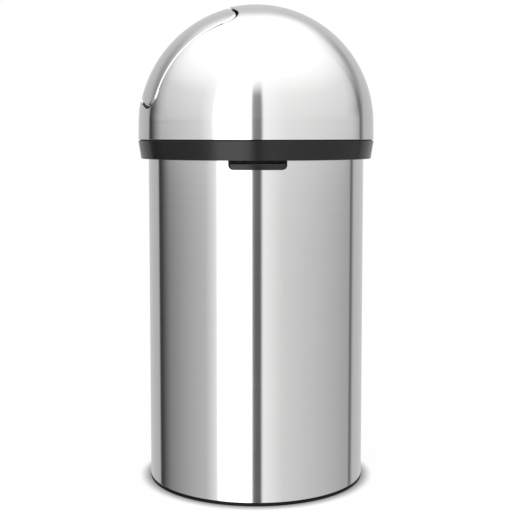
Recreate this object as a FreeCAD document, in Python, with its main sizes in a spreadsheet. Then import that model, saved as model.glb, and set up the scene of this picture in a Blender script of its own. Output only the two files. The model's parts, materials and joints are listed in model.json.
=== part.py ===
import FreeCAD, Part
import math
import os

import Sketcher

# A round push bin: steel body on a plastic base, a ring with a steel dome that tips back on a hinge,
# a spring-shut push flap in the dome, a latch lever at the front and a lift-out bucket inside.
# Frame: millimetres, origin on the floor under the centre of the base, +Z up, latch towards -Y,
# lid hinge towards +Y, push flap towards -X.

SIZES = {
    # clearances
    "fit": 0.1,
    "run_fit": 0.05,
    "gap": 0.3,
    # steel body
    "body_radius": 185.2,
    "body_wall": 0.8,
    "shell_flange": 10.0,
    "shell_height": 566.3,
    # base and rubber ring
    "foot_height": 5.7,
    "foot_gap": 0.8,
    "foot_edge": 0.6,
    "foot_width": 13.2,
    "pad_inset": 6.2,
    "pad_width": 6.0,
    "pad_thickness": 3.0,
    "plate_lift": 2.5,
    "plate_wall": 3.0,
    "spigot_height": 14.3,
    "spigot_wall": 2.5,
    # rim on the body's top edge
    "rim_cap": 3.9,
    "rim_skin": 1.2,
    "rim_leg": 2.0,
    "rim_inner_depth": 21.0,
    "rim_outer_depth": 12.0,
    "rim_ledge": 7.2,
    "rim_edge": 0.8,
    # bucket and its bail
    "bucket_play": 1.5,
    "bucket_lip": 5.5,
    "bucket_lip_height": 2.5,
    "bucket_wall": 2.0,
    "bucket_draft": 13.5,
    "bucket_lift": 3.5,
    "bucket_corner": 3.0,
    "bail_inset": 16.5,
    "bail_drop": 13.0,
    "bail_wire": 2.5,
    "bail_pin": 13.0,
    "bail_ear": 8.0,
    "bail_ear_depth": 9.5,
    "bail_ear_clear": 0.4,
    "grip_radius": 6.0,
    "grip_angle": 22.0,
    "bail_rest_width": 18.0,
    "bail_rest_height": 6.0,
    # ring under the dome
    "deck_rise": 7.4,
    "deck_thickness": 4.0,
    "deck_inset": 4.2,
    "deck_haunch": 0.4,
    "ring_height": 30.9,
    "ring_wall": 2.0,
    "ring_edge": 2.0,
    "ring_edge_foot": 1.8,
    "ring_edge_middle": 0.6,
    "ring_step": 0.6,
    "ring_taper": 4.7,
    "shadow_gap": 1.6,
    "shadow_depth": 2.5,
    "lid_pad_radius": 1.8,
    "lid_pad_count": 6,
    # dome
    "dome_overhang": 16.8,
    "dome_wall": 0.8,
    "dome_skirt": 27.5,
    "hem_width": 10.0,
    "clamp_width": 11.9,
    "clamp_thickness": 3.8,
    "clamp_lip": 7.8,
    "clamp_wall": 2.0,
    # fasteners
    "screw_radius": 1.4,
    "screw_head": 2.8,
    "screw_head_height": 2.0,
    "screw_bite": 3.0,
    "base_screw_bite": 2.1,
    "base_screw_count": 6,
    "base_screw_start": 15.0,
    "clamp_screw_count": 8,
    "clamp_screw_start": 22.5,
    "clamp_screw_inset": 6.5,
    "rivet_radius": 1.6,
    "rivet_head": 3.4,
    "rivet_head_height": 1.2,
    # lid hinge
    "hinge_reach": 10.3,
    "hinge_drop": 6.9,
    "hinge_pin_radius": 2.5,
    "knuckle_radius": 5.2,
    "knuckle_half": 12.0,
    "knuckle_span": 30.0,
    "bracket_wall": 2.7,
    "bracket_drop": 7.0,
    "bracket_height": 25.0,
    "bracket_half_angle": 10.0,
    "web_depth": 12.0,
    "bracket_rivet_angle": 7.0,
    "bracket_rivet_rise": 5.5,
    "bracket_rivet_pitch": 11.0,
    "arm_gap": 3.5,
    "arm_wall": 4.0,
    "arm_link": 5.0,
    "arm_foot_half": 20.0,
    "arm_foot_depth": 10.0,
    "arm_foot_wall": 3.0,
    "arm_screw_half": 16.0,
    # latch under the ring
    "tab_half_width": 46.3,
    "tab_drop": 14.5,
    "tab_corner": 7.4,
    "front_half_angle": 30.0,
    "housing_gap": 3.0,
    "housing_wall": 2.0,
    "housing_lap": 2.0,
    "post_inner_half": 24.0,
    "post_outer_half": 33.0,
    "post_reach": 10.2,
    "post_lift": 1.5,
    "window_half": 10.0,
    "window_margin": 2.0,
    "lip_half_width": 43.2,
    "lip_height": 9.6,
    "lip_reach": 13.0,
    "lip_edge": 1.6,
    "pivot_reach": 5.8,
    "pivot_rise": 6.6,
    "pivot_hub": 2.3,
    "pivot_pin": 1.2,
    "pivot_pin_half": 27.0,
    "hub_half": 22.0,
    "lever_half": 18.0,
    "lever_wall": 1.8,
    "nose_half": 8.0,
    "nose_height": 3.0,
    "nose_rise": 5.1,
    "catch_plate": 1.0,
    "catch_reach": 1.9,
    "catch_half_angle": 4.6,
    "catch_rise": 3.5,
    "catch_ledge": 3.0,
    "catch_drop": 7.0,
    "catch_rivet_angle": 3.6,
    "catch_rivet_head": 1.5,
    "catch_rivet_head_height": 0.5,
    "catch_rivet_radius": 0.8,
    "catch_rivet_drop": 4.5,
    # opening in the dome and its frame
    "flap_elevation": 43.9,
    "opening_side_margin": 90.0,
    "opening_end_margin": 92.0,
    "opening_corner": 36.0,
    "punch_start": 50.0,
    "punch_end": 262.0,
    "frame_width": 15.0,
    "frame_wall": 3.5,
    "bearing_width": 6.5,
    "bearing_radius": 6.0,
    # push flap
    "flap_gap": 4.5,
    "flap_wall": 0.8,
    "flap_flatness": 8.0,
    "flap_recess": 2.8,
    "flap_return": 3.5,
    "flap_lip": 2.2,
    "flap_lip_lap": 7.0,
    "flap_lip_drop": 55.0,
    "axle_rise": 7.5,
    "axle_cover": 4.5,
    "axle_radius": 2.5,
    "axle_half": 63.0,
    "axle_tail": 1.5,
    "hub_radius": 6.5,
    "hub_space": 7.0,
    "hub_width": 8.0,
    "web_length": 18.0,
    "collar_radius": 4.5,
    "collar_length": 3.0,
    # spring drum and damper on the axle
    "drum_radius": 9.5,
    "drum_wall": 1.5,
    "drum_space": 4.0,
    "drum_length": 22.0,
    "lug_half": 4.0,
    "lug_length": 14.0,
    "rotor_radius": 7.4,
    "spring_radius": 7.7,
    "spring_bore": 4.0,
}

VECTOR = FreeCAD.Vector
UP = VECTOR(0, 0, 1)
ALONG_X = FreeCAD.Rotation(VECTOR(0, 1, 0), 90)
ALONG_Y = FreeCAD.Rotation(VECTOR(1, 0, 0), -90)
ALONG_Z = FreeCAD.Rotation()
BACK = 90.0
FRONT = 270.0
SIDES = (-1, 1)
CORNERS = (1, 3, 5, 7)
LOWER_EDGES = (4, 8)

doc = FreeCAD.newDocument("push_bin")
sheet = doc.addObject("Spreadsheet::Sheet", "Sizes")
for row, (alias, number) in enumerate(SIZES.items(), start=1):
    sheet.set(f"A{row}", alias.replace("_", " "))
    sheet.set(f"B{row}", str(number))
    sheet.setAlias(f"B{row}", alias)
doc.recompute()


class Length:
    """A size that carries its number and the expression that ties it to the sheet."""

    def __init__(self, number, text):
        self.number = number
        self.text = text

    def __add__(self, other):
        other = as_length(other)
        return Length(self.number + other.number, f"({self.text} + {other.text})")

    def __sub__(self, other):
        other = as_length(other)
        return Length(self.number - other.number, f"({self.text} - {other.text})")

    def __mul__(self, factor):
        return Length(self.number * factor, f"({self.text} * {factor})")

    def __truediv__(self, divisor):
        return Length(self.number / divisor, f"({self.text} / {divisor})")

    def __neg__(self):
        return Length(-self.number, f"(0 - {self.text})")

    def leg(self, *others):
        """Gives the side left over when this length is the diagonal of a block with the other sides."""
        left = self.number ** 2 - sum(other.number ** 2 for other in others)
        sides = "".join(f" - {other.text} ^ 2" for other in others)
        return Length(math.sqrt(left), f"sqrt({self.text} ^ 2{sides})")


def as_length(value):
    """Gives a plain number the same form as a size from the sheet."""
    if isinstance(value, Length):
        return value
    return Length(float(value), str(float(value)))


def size(alias):
    """Reads one driving dimension from the sheet."""
    return Length(float(sheet.get(alias)), f"Sizes.{alias}")


def count(alias):
    """Reads how many copies a pattern has."""
    return int(size(alias).number)


# Tools that make document objects

def tie(item, prop, value):
    """Binds one property of an object to its expression."""
    item.setExpression(prop, as_length(value).text)


def seat(item, x=0, y=0, z=0, turn=ALONG_Z):
    """Places an object at sizes from the sheet."""
    spot = [as_length(value) for value in (x, y, z)]
    item.Placement = FreeCAD.Placement(VECTOR(*[value.number for value in spot]), turn)
    for axis, value in zip("xyz", spot):
        tie(item, f"Placement.Base.{axis}", value)
    return item


def rod(name, radius, length, x=0, y=0, z=0, turn=ALONG_Z):
    """Makes a cylinder whose axis starts at x, y, z."""
    item = doc.addObject("Part::Cylinder", name)
    tie(item, "Radius", radius)
    tie(item, "Height", length)
    return seat(item, x, y, z, turn)


def block(name, x, y, z):
    """Makes a box between pairs of low and high sizes."""
    item = doc.addObject("Part::Box", name)
    for prop, (low, high) in zip(("Length", "Width", "Height"), (x, y, z)):
        tie(item, prop, as_length(high) - low)
    return seat(item, x[0], y[0], z[0])


def ball(name, radius, z=0, low_angle=-90):
    """Makes a sphere, or its upper part."""
    item = doc.addObject("Part::Sphere", name)
    tie(item, "Radius", radius)
    item.Angle1 = low_angle
    return seat(item, z=z)


def sector(name, inner, outer, low, high, middle, half_angle):
    """Makes a piece of a ring wall about the bin's axis."""
    walls = []
    for label, radius in ((f"{name}_outer", outer), (f"{name}_inner", inner)):
        wall = rod(label, radius, as_length(high) - low, z=low)
        walls.append(wall)
    walls[0].Placement.Rotation = FreeCAD.Rotation(UP, middle - half_angle)
    walls[0].Angle = 2 * half_angle
    return cut(name, walls[0], [walls[1]])


def fuse(name, pieces):
    """Joins pieces into one solid."""
    item = doc.addObject("Part::MultiFuse", name)
    item.Shapes = pieces
    return item


def common(name, pieces):
    """Keeps what the pieces share."""
    item = doc.addObject("Part::MultiCommon", name)
    item.Shapes = pieces
    return item


def cut(name, base, tools):
    """Takes tools away from a base."""
    item = doc.addObject("Part::Cut", name)
    item.Base = base
    item.Tool = tools[0] if len(tools) == 1 else fuse(f"{name}_tools", tools)
    return item


def rounded(name, box, edges, radius):
    """Rounds numbered edges of a box."""
    item = doc.addObject("Part::Fillet", name)
    item.Base = box
    item.Edges = [(edge, radius.number, radius.number) for edge in edges]
    return item


def turned(name, profile):
    """Makes a body by turning an outline of radius and height pairs about the bin's axis."""
    body = doc.addObject("PartDesign::Body", name)
    sketch = body.newObject("Sketcher::SketchObject", f"{name}_outline")
    plane = next(item for item in body.Origin.OriginFeatures if item.Role == "XZ_Plane")
    sketch.AttachmentSupport = [(plane, "")]
    sketch.MapMode = "FlatFace"
    points = [(as_length(radius), as_length(height)) for radius, height in profile]
    corners = [VECTOR(radius.number, height.number, 0) for radius, height in points]
    for index, corner in enumerate(corners):
        sketch.addGeometry(Part.LineSegment(corner, corners[(index + 1) % len(corners)]), False)
    for index in range(len(corners)):
        sketch.addConstraint(Sketcher.Constraint("Coincident", index, 2, (index + 1) % len(corners), 1))
    for index, (radius, height) in enumerate(points):
        for kind, axis, value in (("DistanceX", -2, radius), ("DistanceY", -1, height)):
            if value.number == 0:
                sketch.addConstraint(Sketcher.Constraint("PointOnObject", index, 1, axis))
                continue
            place = sketch.addConstraint(Sketcher.Constraint(kind, -1, 1, index, 1, value.number))
            sketch.setExpression(f"Constraints[{place}]", value.text)
    spin = body.newObject("PartDesign::Revolution", f"{name}_turn")
    spin.Profile = sketch
    spin.ReferenceAxis = (sketch, ["V_Axis"])
    spin.Angle = 360
    sketch.Visibility = False
    return body


nodes = []


def node(name, item):
    """Names a finished sub-part after the piece that it is."""
    item.Label = name
    nodes.append((name, item))
    return item


def ring_spots(copies, first_angle):
    """Gives evenly spaced angles round the bin's axis."""
    return [first_angle + 360.0 * index / copies for index in range(copies)]


def around(item, angle):
    """Turns a finished piece about the bin's axis."""
    item.Placement = FreeCAD.Placement(VECTOR(), FreeCAD.Rotation(UP, angle))
    return item


def screw(name, radius, foot, neck, bite, up):
    """Makes a screw on the radius at angle 0, with its head's seat at height neck and its point at foot."""
    head_start = neck - size("screw_head_height") if up else neck
    shank = rod(f"{name}_shank", size("screw_radius"), bite, x=radius, z=foot)
    head = rod(f"{name}_head", size("screw_head"), size("screw_head_height"), x=radius, z=head_start)
    return fuse(name, [shank, head])


def screw_hole(name, radius, low, high, angle):
    """Makes the tool for a screw's hole."""
    drill = rod(f"{name}_drill", size("screw_radius") + size("run_fit"), high - low, x=radius, z=low)
    return around(group(name, [drill]), angle)


def group(name, items):
    """Holds solids together without joining them, so that they can be placed as one."""
    item = doc.addObject("Part::Compound", name)
    item.Links = items
    return item


# Heights and radii that several pieces share

fit = size("fit")
run_fit = size("run_fit")
gap = size("gap")
body_radius = size("body_radius")
shell_low = size("foot_height")
shell_top = shell_low + size("shell_height")
shell_inner = body_radius - size("body_wall")
rim_top = shell_top + fit + size("rim_cap")
deck_low = rim_top + size("deck_rise")
dome_low = deck_low + size("deck_thickness")
ring_top = dome_low - size("shadow_gap")
ring_low = ring_top - size("ring_height")
dome_centre = dome_low + size("dome_skirt")
dome_radius = body_radius + size("dome_overhang")
dome_inner = dome_radius - size("dome_wall")
ring_top_radius = dome_radius + size("ring_step")
ring_low_radius = ring_top_radius - size("ring_taper")
hinge_y = body_radius + size("hinge_reach")
hinge_z = ring_low - size("hinge_drop")


# Base: a plastic plate with a foot under the steel's edge, and a rubber ring that stands on the floor

spigot_outer = body_radius - size("shell_flange") - gap
spigot_inner = spigot_outer - size("spigot_wall")
foot_inner = body_radius - size("foot_width")
pad_middle = body_radius - size("pad_inset")
pad_outer = pad_middle + size("pad_width") / 2
pad_inner = pad_middle - size("pad_width") / 2
plate_top = size("plate_lift") + size("plate_wall")
base_screw_circle = (spigot_outer + shell_inner) / 2
base_screw_foot = shell_low - size("base_screw_bite")
flange_top = shell_low + size("body_wall")

base_blank = turned("base_blank", [
    (0, size("plate_lift")),
    (foot_inner, size("plate_lift")),
    (foot_inner, size("foot_gap")),
    (pad_inner - fit, size("foot_gap")),
    (pad_inner - fit, size("pad_thickness")),
    (pad_outer + fit, size("pad_thickness")),
    (pad_outer + fit, size("foot_gap")),
    (body_radius - size("foot_edge"), size("foot_gap")),
    (body_radius, size("foot_gap") + size("foot_edge")),
    (body_radius, shell_low),
    (spigot_outer, shell_low),
    (spigot_outer, shell_low + size("spigot_height")),
    (spigot_inner, shell_low + size("spigot_height")),
    (spigot_inner, plate_top),
    (0, plate_top),
])
base_angles = ring_spots(count("base_screw_count"), size("base_screw_start").number)
base_holes = [
    screw_hole(f"base_hole_{index}", base_screw_circle, base_screw_foot - fit, flange_top, angle)
    for index, angle in enumerate(base_angles)
]
node("base_plate", cut("base_plate", base_blank, base_holes))
node("floor_ring", turned("floor_ring", [
    (pad_inner, 0),
    (pad_outer, 0),
    (pad_outer, size("pad_thickness")),
    (pad_inner, size("pad_thickness")),
]))
base_screws = [
    around(screw(f"base_screw_{index}", base_screw_circle, base_screw_foot, flange_top,
                 size("base_screw_bite") + size("body_wall"), up=False), angle)
    for index, angle in enumerate(base_angles)
]
node("base_screws", group("base_screws", base_screws))


# Hinge on the body: a curved plate with two knuckles behind the shell, riveted through it

bracket_top = hinge_z - size("bracket_drop")
bracket_low = bracket_top - size("bracket_height")
plate_inner = body_radius + fit
plate_outer = plate_inner + size("bracket_wall")
rivet_first = bracket_low + size("bracket_rivet_rise")
rivet_z = [rivet_first, rivet_first + size("bracket_rivet_pitch")]
rivet_spots = [
    (BACK + side * size("bracket_rivet_angle").number, height)
    for side in SIDES
    for height in rivet_z
]


def radial_rod(name, radius, inner, outer, height, angle):
    """Makes a rod that points away from the bin's axis."""
    bar = rod(f"{name}_bar", radius, outer - inner, x=inner, z=height, turn=ALONG_X)
    return around(group(name, [bar]), angle)


def rivet(name, shank, head, head_height, outer, height, angle):
    """Makes a rivet through the shell with a head inside it and a head at radius outer."""
    inner = shell_inner - fit
    bar = rod(f"{name}_shank", shank, outer - inner, x=inner, z=height, turn=ALONG_X)
    near = rod(f"{name}_near", head, head_height, x=outer, z=height, turn=ALONG_X)
    far = rod(f"{name}_far", head, head_height, x=inner - head_height, z=height, turn=ALONG_X)
    return around(fuse(name, [bar, near, far]), angle)


rivet_holes = [
    radial_rod(f"rivet_hole_{index}", size("rivet_radius") + fit, shell_inner - size("body_wall"),
               plate_outer + fit, height, angle)
    for index, (angle, height) in enumerate(rivet_spots)
]
bracket_plate = sector("bracket_plate", plate_inner, plate_outer, bracket_low, bracket_top, BACK,
                       size("bracket_half_angle").number)
bracket_parts = [bracket_plate]
knuckle_start = size("knuckle_half") + gap
knuckle_length = size("knuckle_span") - knuckle_start
for side, start in ((-1, -size("knuckle_span")), (1, knuckle_start)):
    tag = "right" if side > 0 else "left"
    bracket_parts.append(rod(f"knuckle_{tag}", size("knuckle_radius"), knuckle_length,
                             x=start, y=hinge_y, z=hinge_z, turn=ALONG_X))
    bracket_parts.append(block(f"hinge_web_{tag}", (start, start + knuckle_length),
                               (body_radius - size("bracket_wall"), hinge_y),
                               (hinge_z - size("web_depth"), hinge_z)))
clear_low = bracket_low - size("bracket_height")
clear_top = hinge_z + size("bracket_height")
bracket_clear = rod("bracket_clear", plate_inner, clear_top - clear_low, z=clear_low)
pin_length = size("knuckle_span") * 2
bracket_bore = rod("bracket_bore", size("hinge_pin_radius") + run_fit / 2, pin_length,
                   x=-size("knuckle_span"), y=hinge_y, z=hinge_z, turn=ALONG_X)
node("hinge_bracket", cut("hinge_bracket", fuse("bracket_solid", bracket_parts),
                          [bracket_clear, bracket_bore] + rivet_holes))
node("hinge_pin", rod("hinge_pin", size("hinge_pin_radius"), pin_length,
                      x=-size("knuckle_span"), y=hinge_y, z=hinge_z, turn=ALONG_X))
node("hinge_rivets", group("hinge_rivets", [
    rivet(f"hinge_rivet_{index}", size("rivet_radius"), size("rivet_head"), size("rivet_head_height"),
          plate_outer, height, angle)
    for index, (angle, height) in enumerate(rivet_spots)
]))


# Catch on the body's front, just clear of the lever's nose

catch_low = ring_low - size("catch_drop") - size("catch_rise")
catch_ledge_top = ring_low - fit * 2
catch_ledge_low = catch_ledge_top - size("catch_ledge")
catch_face = plate_inner + size("catch_plate")
catch_tip = body_radius + size("catch_reach")
catch_half = size("catch_half_angle").number
catch_rivet_z = catch_ledge_low - size("catch_rivet_drop")
catch_spots = [FRONT + side * size("catch_rivet_angle").number for side in SIDES]
catch_holes = [
    radial_rod(f"catch_hole_{index}", size("catch_rivet_radius") + fit, shell_inner - size("body_wall"),
               catch_face + fit, catch_rivet_z, angle)
    for index, angle in enumerate(catch_spots)
]
catch_parts = [
    sector("catch_back", plate_inner, catch_face, catch_low, catch_ledge_top, FRONT, catch_half),
    sector("catch_shelf", plate_inner, catch_tip, catch_ledge_low, catch_ledge_top, FRONT, catch_half),
]
node("latch_catch", cut("latch_catch", fuse("catch_solid", catch_parts), catch_holes))
node("catch_rivets", group("catch_rivets", [
    rivet(f"catch_rivet_{index}", size("catch_rivet_radius"), size("catch_rivet_head"),
          size("catch_rivet_head_height"), catch_face, catch_rivet_z, angle)
    for index, angle in enumerate(catch_spots)
]))


# Steel body: one rolled wall with a flange turned in at the bottom

shell_blank = turned("shell_blank", [
    (body_radius - size("shell_flange"), shell_low),
    (body_radius, shell_low),
    (body_radius, shell_top),
    (shell_inner, shell_top),
    (shell_inner, flange_top),
    (body_radius - size("shell_flange"), flange_top),
])
shell_holes = [
    screw_hole(f"flange_hole_{index}", base_screw_circle, shell_low, flange_top, angle)
    for index, angle in enumerate(base_angles)
]
shell_drills = [
    radial_rod(f"shell_drill_{index}", size("rivet_radius") + fit, shell_inner - size("body_wall"),
               plate_outer, height, angle)
    for index, (angle, height) in enumerate(rivet_spots)
] + [
    radial_rod(f"catch_drill_{index}", size("catch_rivet_radius") + fit, shell_inner - size("body_wall"),
               plate_outer, catch_rivet_z, angle)
    for index, angle in enumerate(catch_spots)
]
node("body_shell", cut("body_shell", shell_blank, shell_holes + shell_drills))


# Plastic rim that grips the shell's top edge and carries the bucket

rim_outer = body_radius + fit + size("rim_skin")
rim_leg_outer = shell_inner - fit
rim_leg_inner = rim_leg_outer - size("rim_leg")
ledge_radius = body_radius - size("rim_ledge")
node("body_rim", turned("body_rim", [
    (ledge_radius, shell_top + fit),
    (rim_leg_inner, shell_top + fit),
    (rim_leg_inner, shell_top - size("rim_inner_depth")),
    (rim_leg_outer, shell_top - size("rim_inner_depth")),
    (rim_leg_outer, shell_top + fit),
    (body_radius + fit, shell_top + fit),
    (body_radius + fit, shell_top - size("rim_outer_depth")),
    (rim_outer, shell_top - size("rim_outer_depth")),
    (rim_outer, rim_top - size("rim_edge")),
    (rim_outer - size("rim_edge"), rim_top),
    (ledge_radius, rim_top),
]))


# Bucket with two ears for its bail and a rest under the grip

bucket_top_radius = ledge_radius - size("bucket_play")
bucket_base_radius = bucket_top_radius - size("bucket_draft")
bucket_low = plate_top + size("bucket_lift")
bucket_floor = bucket_low + size("bucket_wall")
bucket_corner = size("bucket_corner")
bucket_lip_top = rim_top + size("bucket_lip_height")
bucket_wall = size("bucket_wall")
bail_z = rim_top - size("bail_drop")
bail_radius = bucket_top_radius - size("bail_inset")
bail_end = bail_radius + size("bail_pin")
ear_start = bail_end + size("bail_ear_clear") - size("bail_ear_depth")
bucket_blank = turned("bucket_blank", [
    (0, bucket_low),
    (bucket_base_radius - bucket_corner, bucket_low),
    (bucket_base_radius, bucket_low + bucket_corner),
    (bucket_top_radius, rim_top),
    (bucket_top_radius + size("bucket_lip"), rim_top),
    (bucket_top_radius + size("bucket_lip"), bucket_lip_top),
    (bucket_top_radius - bucket_wall, bucket_lip_top),
    (bucket_base_radius - bucket_wall, bucket_floor + bucket_corner),
    (bucket_base_radius - bucket_wall - bucket_corner, bucket_floor),
    (0, bucket_floor),
])
bucket_parts = [bucket_blank]
bail_bores = []
for side in SIDES:
    tag = "back" if side > 0 else "front"
    ear_y = ear_start if side > 0 else -(bucket_top_radius - bucket_wall / 2)
    bore_y = ear_start - fit if side > 0 else -(bail_end + fit)
    ear_length = bucket_top_radius - bucket_wall / 2 - ear_start
    bucket_parts.append(rod(f"bail_ear_{tag}", size("bail_ear"), ear_length, y=ear_y, z=bail_z, turn=ALONG_Y))
    bail_bores.append(rod(f"bail_bore_{tag}", size("bail_wire") + run_fit, bail_end + fit * 2 - ear_start,
                          y=bore_y, z=bail_z, turn=ALONG_Y))
rest_top = bail_z - size("grip_radius") - gap
bucket_parts.append(block("bail_rest", (bail_radius - size("grip_radius"), bucket_top_radius - bucket_wall),
                          (-size("bail_rest_width") / 2, size("bail_rest_width") / 2),
                          (rest_top - size("bail_rest_height"), rest_top)))
node("inner_bucket", cut("inner_bucket", fuse("bucket_solid", bucket_parts), bail_bores))


def arc_rod(name, radius, wire, start, sweep, height):
    """Makes part of a ring of round wire."""
    item = doc.addObject("Part::Torus", name)
    tie(item, "Radius1", radius)
    tie(item, "Radius2", wire)
    item.Angle3 = sweep
    return seat(item, z=height, turn=FreeCAD.Rotation(UP, start))


grip_angle = size("grip_angle").number
bail_parts = [arc_rod("bail_bow", bail_radius, size("bail_wire"), -90.0, 180.0, bail_z)]
for side in SIDES:
    tag = "back" if side > 0 else "front"
    pin_start = bail_radius if side > 0 else -bail_end
    bail_parts.append(rod(f"bail_pin_{tag}", size("bail_wire"), size("bail_pin"),
                          y=pin_start, z=bail_z, turn=ALONG_Y))
    elbow = ball(f"bail_elbow_{tag}", size("bail_wire"))
    bail_parts.append(seat(elbow, y=bail_radius * side, z=bail_z))
node("bucket_bail", fuse("bucket_bail", bail_parts))
grip_solid = arc_rod("grip_solid", bail_radius, size("grip_radius"), -grip_angle / 2, grip_angle, bail_z)
grip_bore = arc_rod("grip_bore", bail_radius, size("bail_wire") + run_fit, -grip_angle, grip_angle * 2, bail_z)
node("bail_grip", cut("bail_grip", grip_solid, [grip_bore]))


# Ring under the dome: a tapered skirt outside the rim and a deck that carries the dome

ring_low_inner = ring_low_radius - size("ring_wall")
deck_skirt = ring_top_radius - size("ring_wall")
deck_radius = body_radius - size("deck_inset")
ring_blank = turned("ring_blank", [
    (ring_low_inner, ring_low),
    (ring_low_radius - size("ring_edge_foot"), ring_low),
    (ring_low_radius - size("ring_edge_middle"), ring_low + size("ring_edge_middle")),
    (ring_low_radius, ring_low + size("ring_edge")),
    (ring_top_radius, ring_top - size("ring_step")),
    (ring_top_radius - size("ring_step"), ring_top),
    (dome_radius - size("shadow_depth"), ring_top),
    (dome_radius - size("shadow_depth"), dome_low),
    (deck_radius, dome_low),
    (deck_radius, deck_low),
    (deck_skirt - size("deck_haunch"), deck_low),
])
clamp_circle = dome_radius - size("clamp_screw_inset")
clamp_angles = ring_spots(count("clamp_screw_count"), size("clamp_screw_start").number)
clamp_low = dome_low + size("dome_wall")
clamp_top = clamp_low + size("screw_bite")
arm_screw_y = body_radius + size("arm_gap") + size("arm_wall") / 2
arm_screw_top = deck_low + size("screw_bite")


def arm_screw_holes(name):
    """Makes the tools for the two screws that hold the hinge arm under the deck."""
    return [
        rod(f"{name}_{side}", size("screw_radius") + run_fit, size("screw_bite") + size("arm_foot_wall") + fit,
            x=size("arm_screw_half") * side, y=arm_screw_y, z=deck_low - size("arm_foot_wall"))
        for side in SIDES
    ]


ring_holes = [
    screw_hole(f"deck_hole_{index}", clamp_circle, deck_low, dome_low, angle)
    for index, angle in enumerate(clamp_angles)
]
node("lid_ring", cut("lid_ring", ring_blank, ring_holes + arm_screw_holes("deck_arm_hole")))
pad_circle = (bucket_top_radius + size("bucket_lip") + rim_outer) / 2
lid_pads = [
    around(group(f"lid_pad_{index}", [rod(f"lid_pad_rod_{index}", size("lid_pad_radius"),
                                         size("deck_rise") - gap, x=pad_circle, z=rim_top + gap)]), angle)
    for index, angle in enumerate(ring_spots(count("lid_pad_count"), 0.0))
]
node("lid_pads", group("lid_pads", lid_pads))


# Hinge arm on the lid: a knuckle between the bracket's two, an upright and a foot under the deck

arm_y = body_radius + size("arm_gap")
arm_half = size("knuckle_half")
arm_parts = [
    rod("arm_knuckle", size("knuckle_radius"), arm_half * 2, x=-arm_half, y=hinge_y, z=hinge_z, turn=ALONG_X),
    block("arm_link", (-arm_half, arm_half), (arm_y, hinge_y), (hinge_z, hinge_z + size("arm_link"))),
    block("arm_upright", (-arm_half, arm_half), (arm_y, arm_y + size("arm_wall")), (hinge_z, deck_low)),
    block("arm_foot", (-size("arm_foot_half"), size("arm_foot_half")),
          (arm_screw_y - size("arm_foot_depth") / 2, arm_screw_y + size("arm_foot_depth") / 2),
          (deck_low - size("arm_foot_wall"), deck_low)),
]
arm_bore = rod("arm_bore", size("hinge_pin_radius") + run_fit, pin_length,
               x=-size("knuckle_span"), y=hinge_y, z=hinge_z, turn=ALONG_X)
node("hinge_arm", cut("hinge_arm", fuse("arm_solid", arm_parts), [arm_bore] + arm_screw_holes("arm_hole")))
arm_screws = []
for side in SIDES:
    tag = "right" if side > 0 else "left"
    spot_x = size("arm_screw_half") * side
    neck = deck_low - size("arm_foot_wall")
    shank = rod(f"arm_screw_shank_{tag}", size("screw_radius"), size("arm_foot_wall") + size("screw_bite"),
                x=spot_x, y=arm_screw_y, z=neck)
    head = rod(f"arm_screw_head_{tag}", size("screw_head"), size("screw_head_height"),
               x=spot_x, y=arm_screw_y, z=neck - size("screw_head_height"))
    arm_screws.append(fuse(f"arm_screw_{tag}", [shank, head]))
node("hinge_arm_screws", group("hinge_arm_screws", arm_screws))


# Latch housing: a curved plate behind the lip and two posts that hang from the deck and carry the pin

tab_low = ring_low - size("tab_drop")
housing_inner = body_radius + size("housing_gap")
housing_outer = housing_inner + size("housing_wall")
pivot_y = -(body_radius + size("pivot_reach"))
pivot_z = ring_low + size("pivot_rise")
lip_low = tab_low
lip_top = lip_low + size("lip_height")
post_low = lip_top + size("post_lift")


def front_ring(name, inner, outer, low, high):
    """Makes a wide piece of ring wall at the front."""
    return sector(name, inner, outer, low, high, FRONT, size("front_half_angle").number)


def front_window(name, half, low, high, corner=None):
    """Makes a block through the front wall, with rounded lower corners if a corner is given."""
    box = block(f"{name}_box" if corner else name, (-half, half), (-(ring_top_radius + size("lip_reach")), 0),
                (low, high))
    return rounded(name, box, LOWER_EDGES, corner) if corner else box


plate_window = front_window("plate_window", size("tab_half_width"), tab_low, ring_low + size("housing_lap"),
                            size("tab_corner"))
housing_plate = common("housing_plate", [
    front_ring("housing_wall", housing_inner, housing_outer, tab_low, ring_low + size("housing_lap")),
    plate_window,
])
housing_parts = [housing_plate]
for side in SIDES:
    tag = "right" if side > 0 else "left"
    near = size("post_inner_half") if side > 0 else -size("post_outer_half")
    width = size("post_outer_half") - size("post_inner_half")
    post_box = block(f"post_box_{tag}", (near, near + width), (-ring_top_radius, 0), (post_low, deck_low))
    post_wall = front_ring(f"post_wall_{tag}", housing_inner, body_radius + size("post_reach"),
                           post_low, deck_low)
    housing_parts.append(common(f"post_{tag}", [post_wall, post_box]))
nose_window = front_window("nose_window", size("window_half"), tab_low + size("window_margin"),
                           ring_low - size("window_margin"))
post_bore = rod("post_bore", size("pivot_pin") + run_fit / 2, size("pivot_pin_half") * 2,
                x=-size("pivot_pin_half"), y=pivot_y, z=pivot_z, turn=ALONG_X)
node("latch_housing", cut("latch_housing", fuse("housing_solid", housing_parts), [nose_window, post_bore]))
node("lever_pin", rod("lever_pin", size("pivot_pin"), size("pivot_pin_half") * 2,
                      x=-size("pivot_pin_half"), y=pivot_y, z=pivot_z, turn=ALONG_X))


# Latch lever: a finger lip on an arm that hangs from the pin, with a nose under the catch

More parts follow.
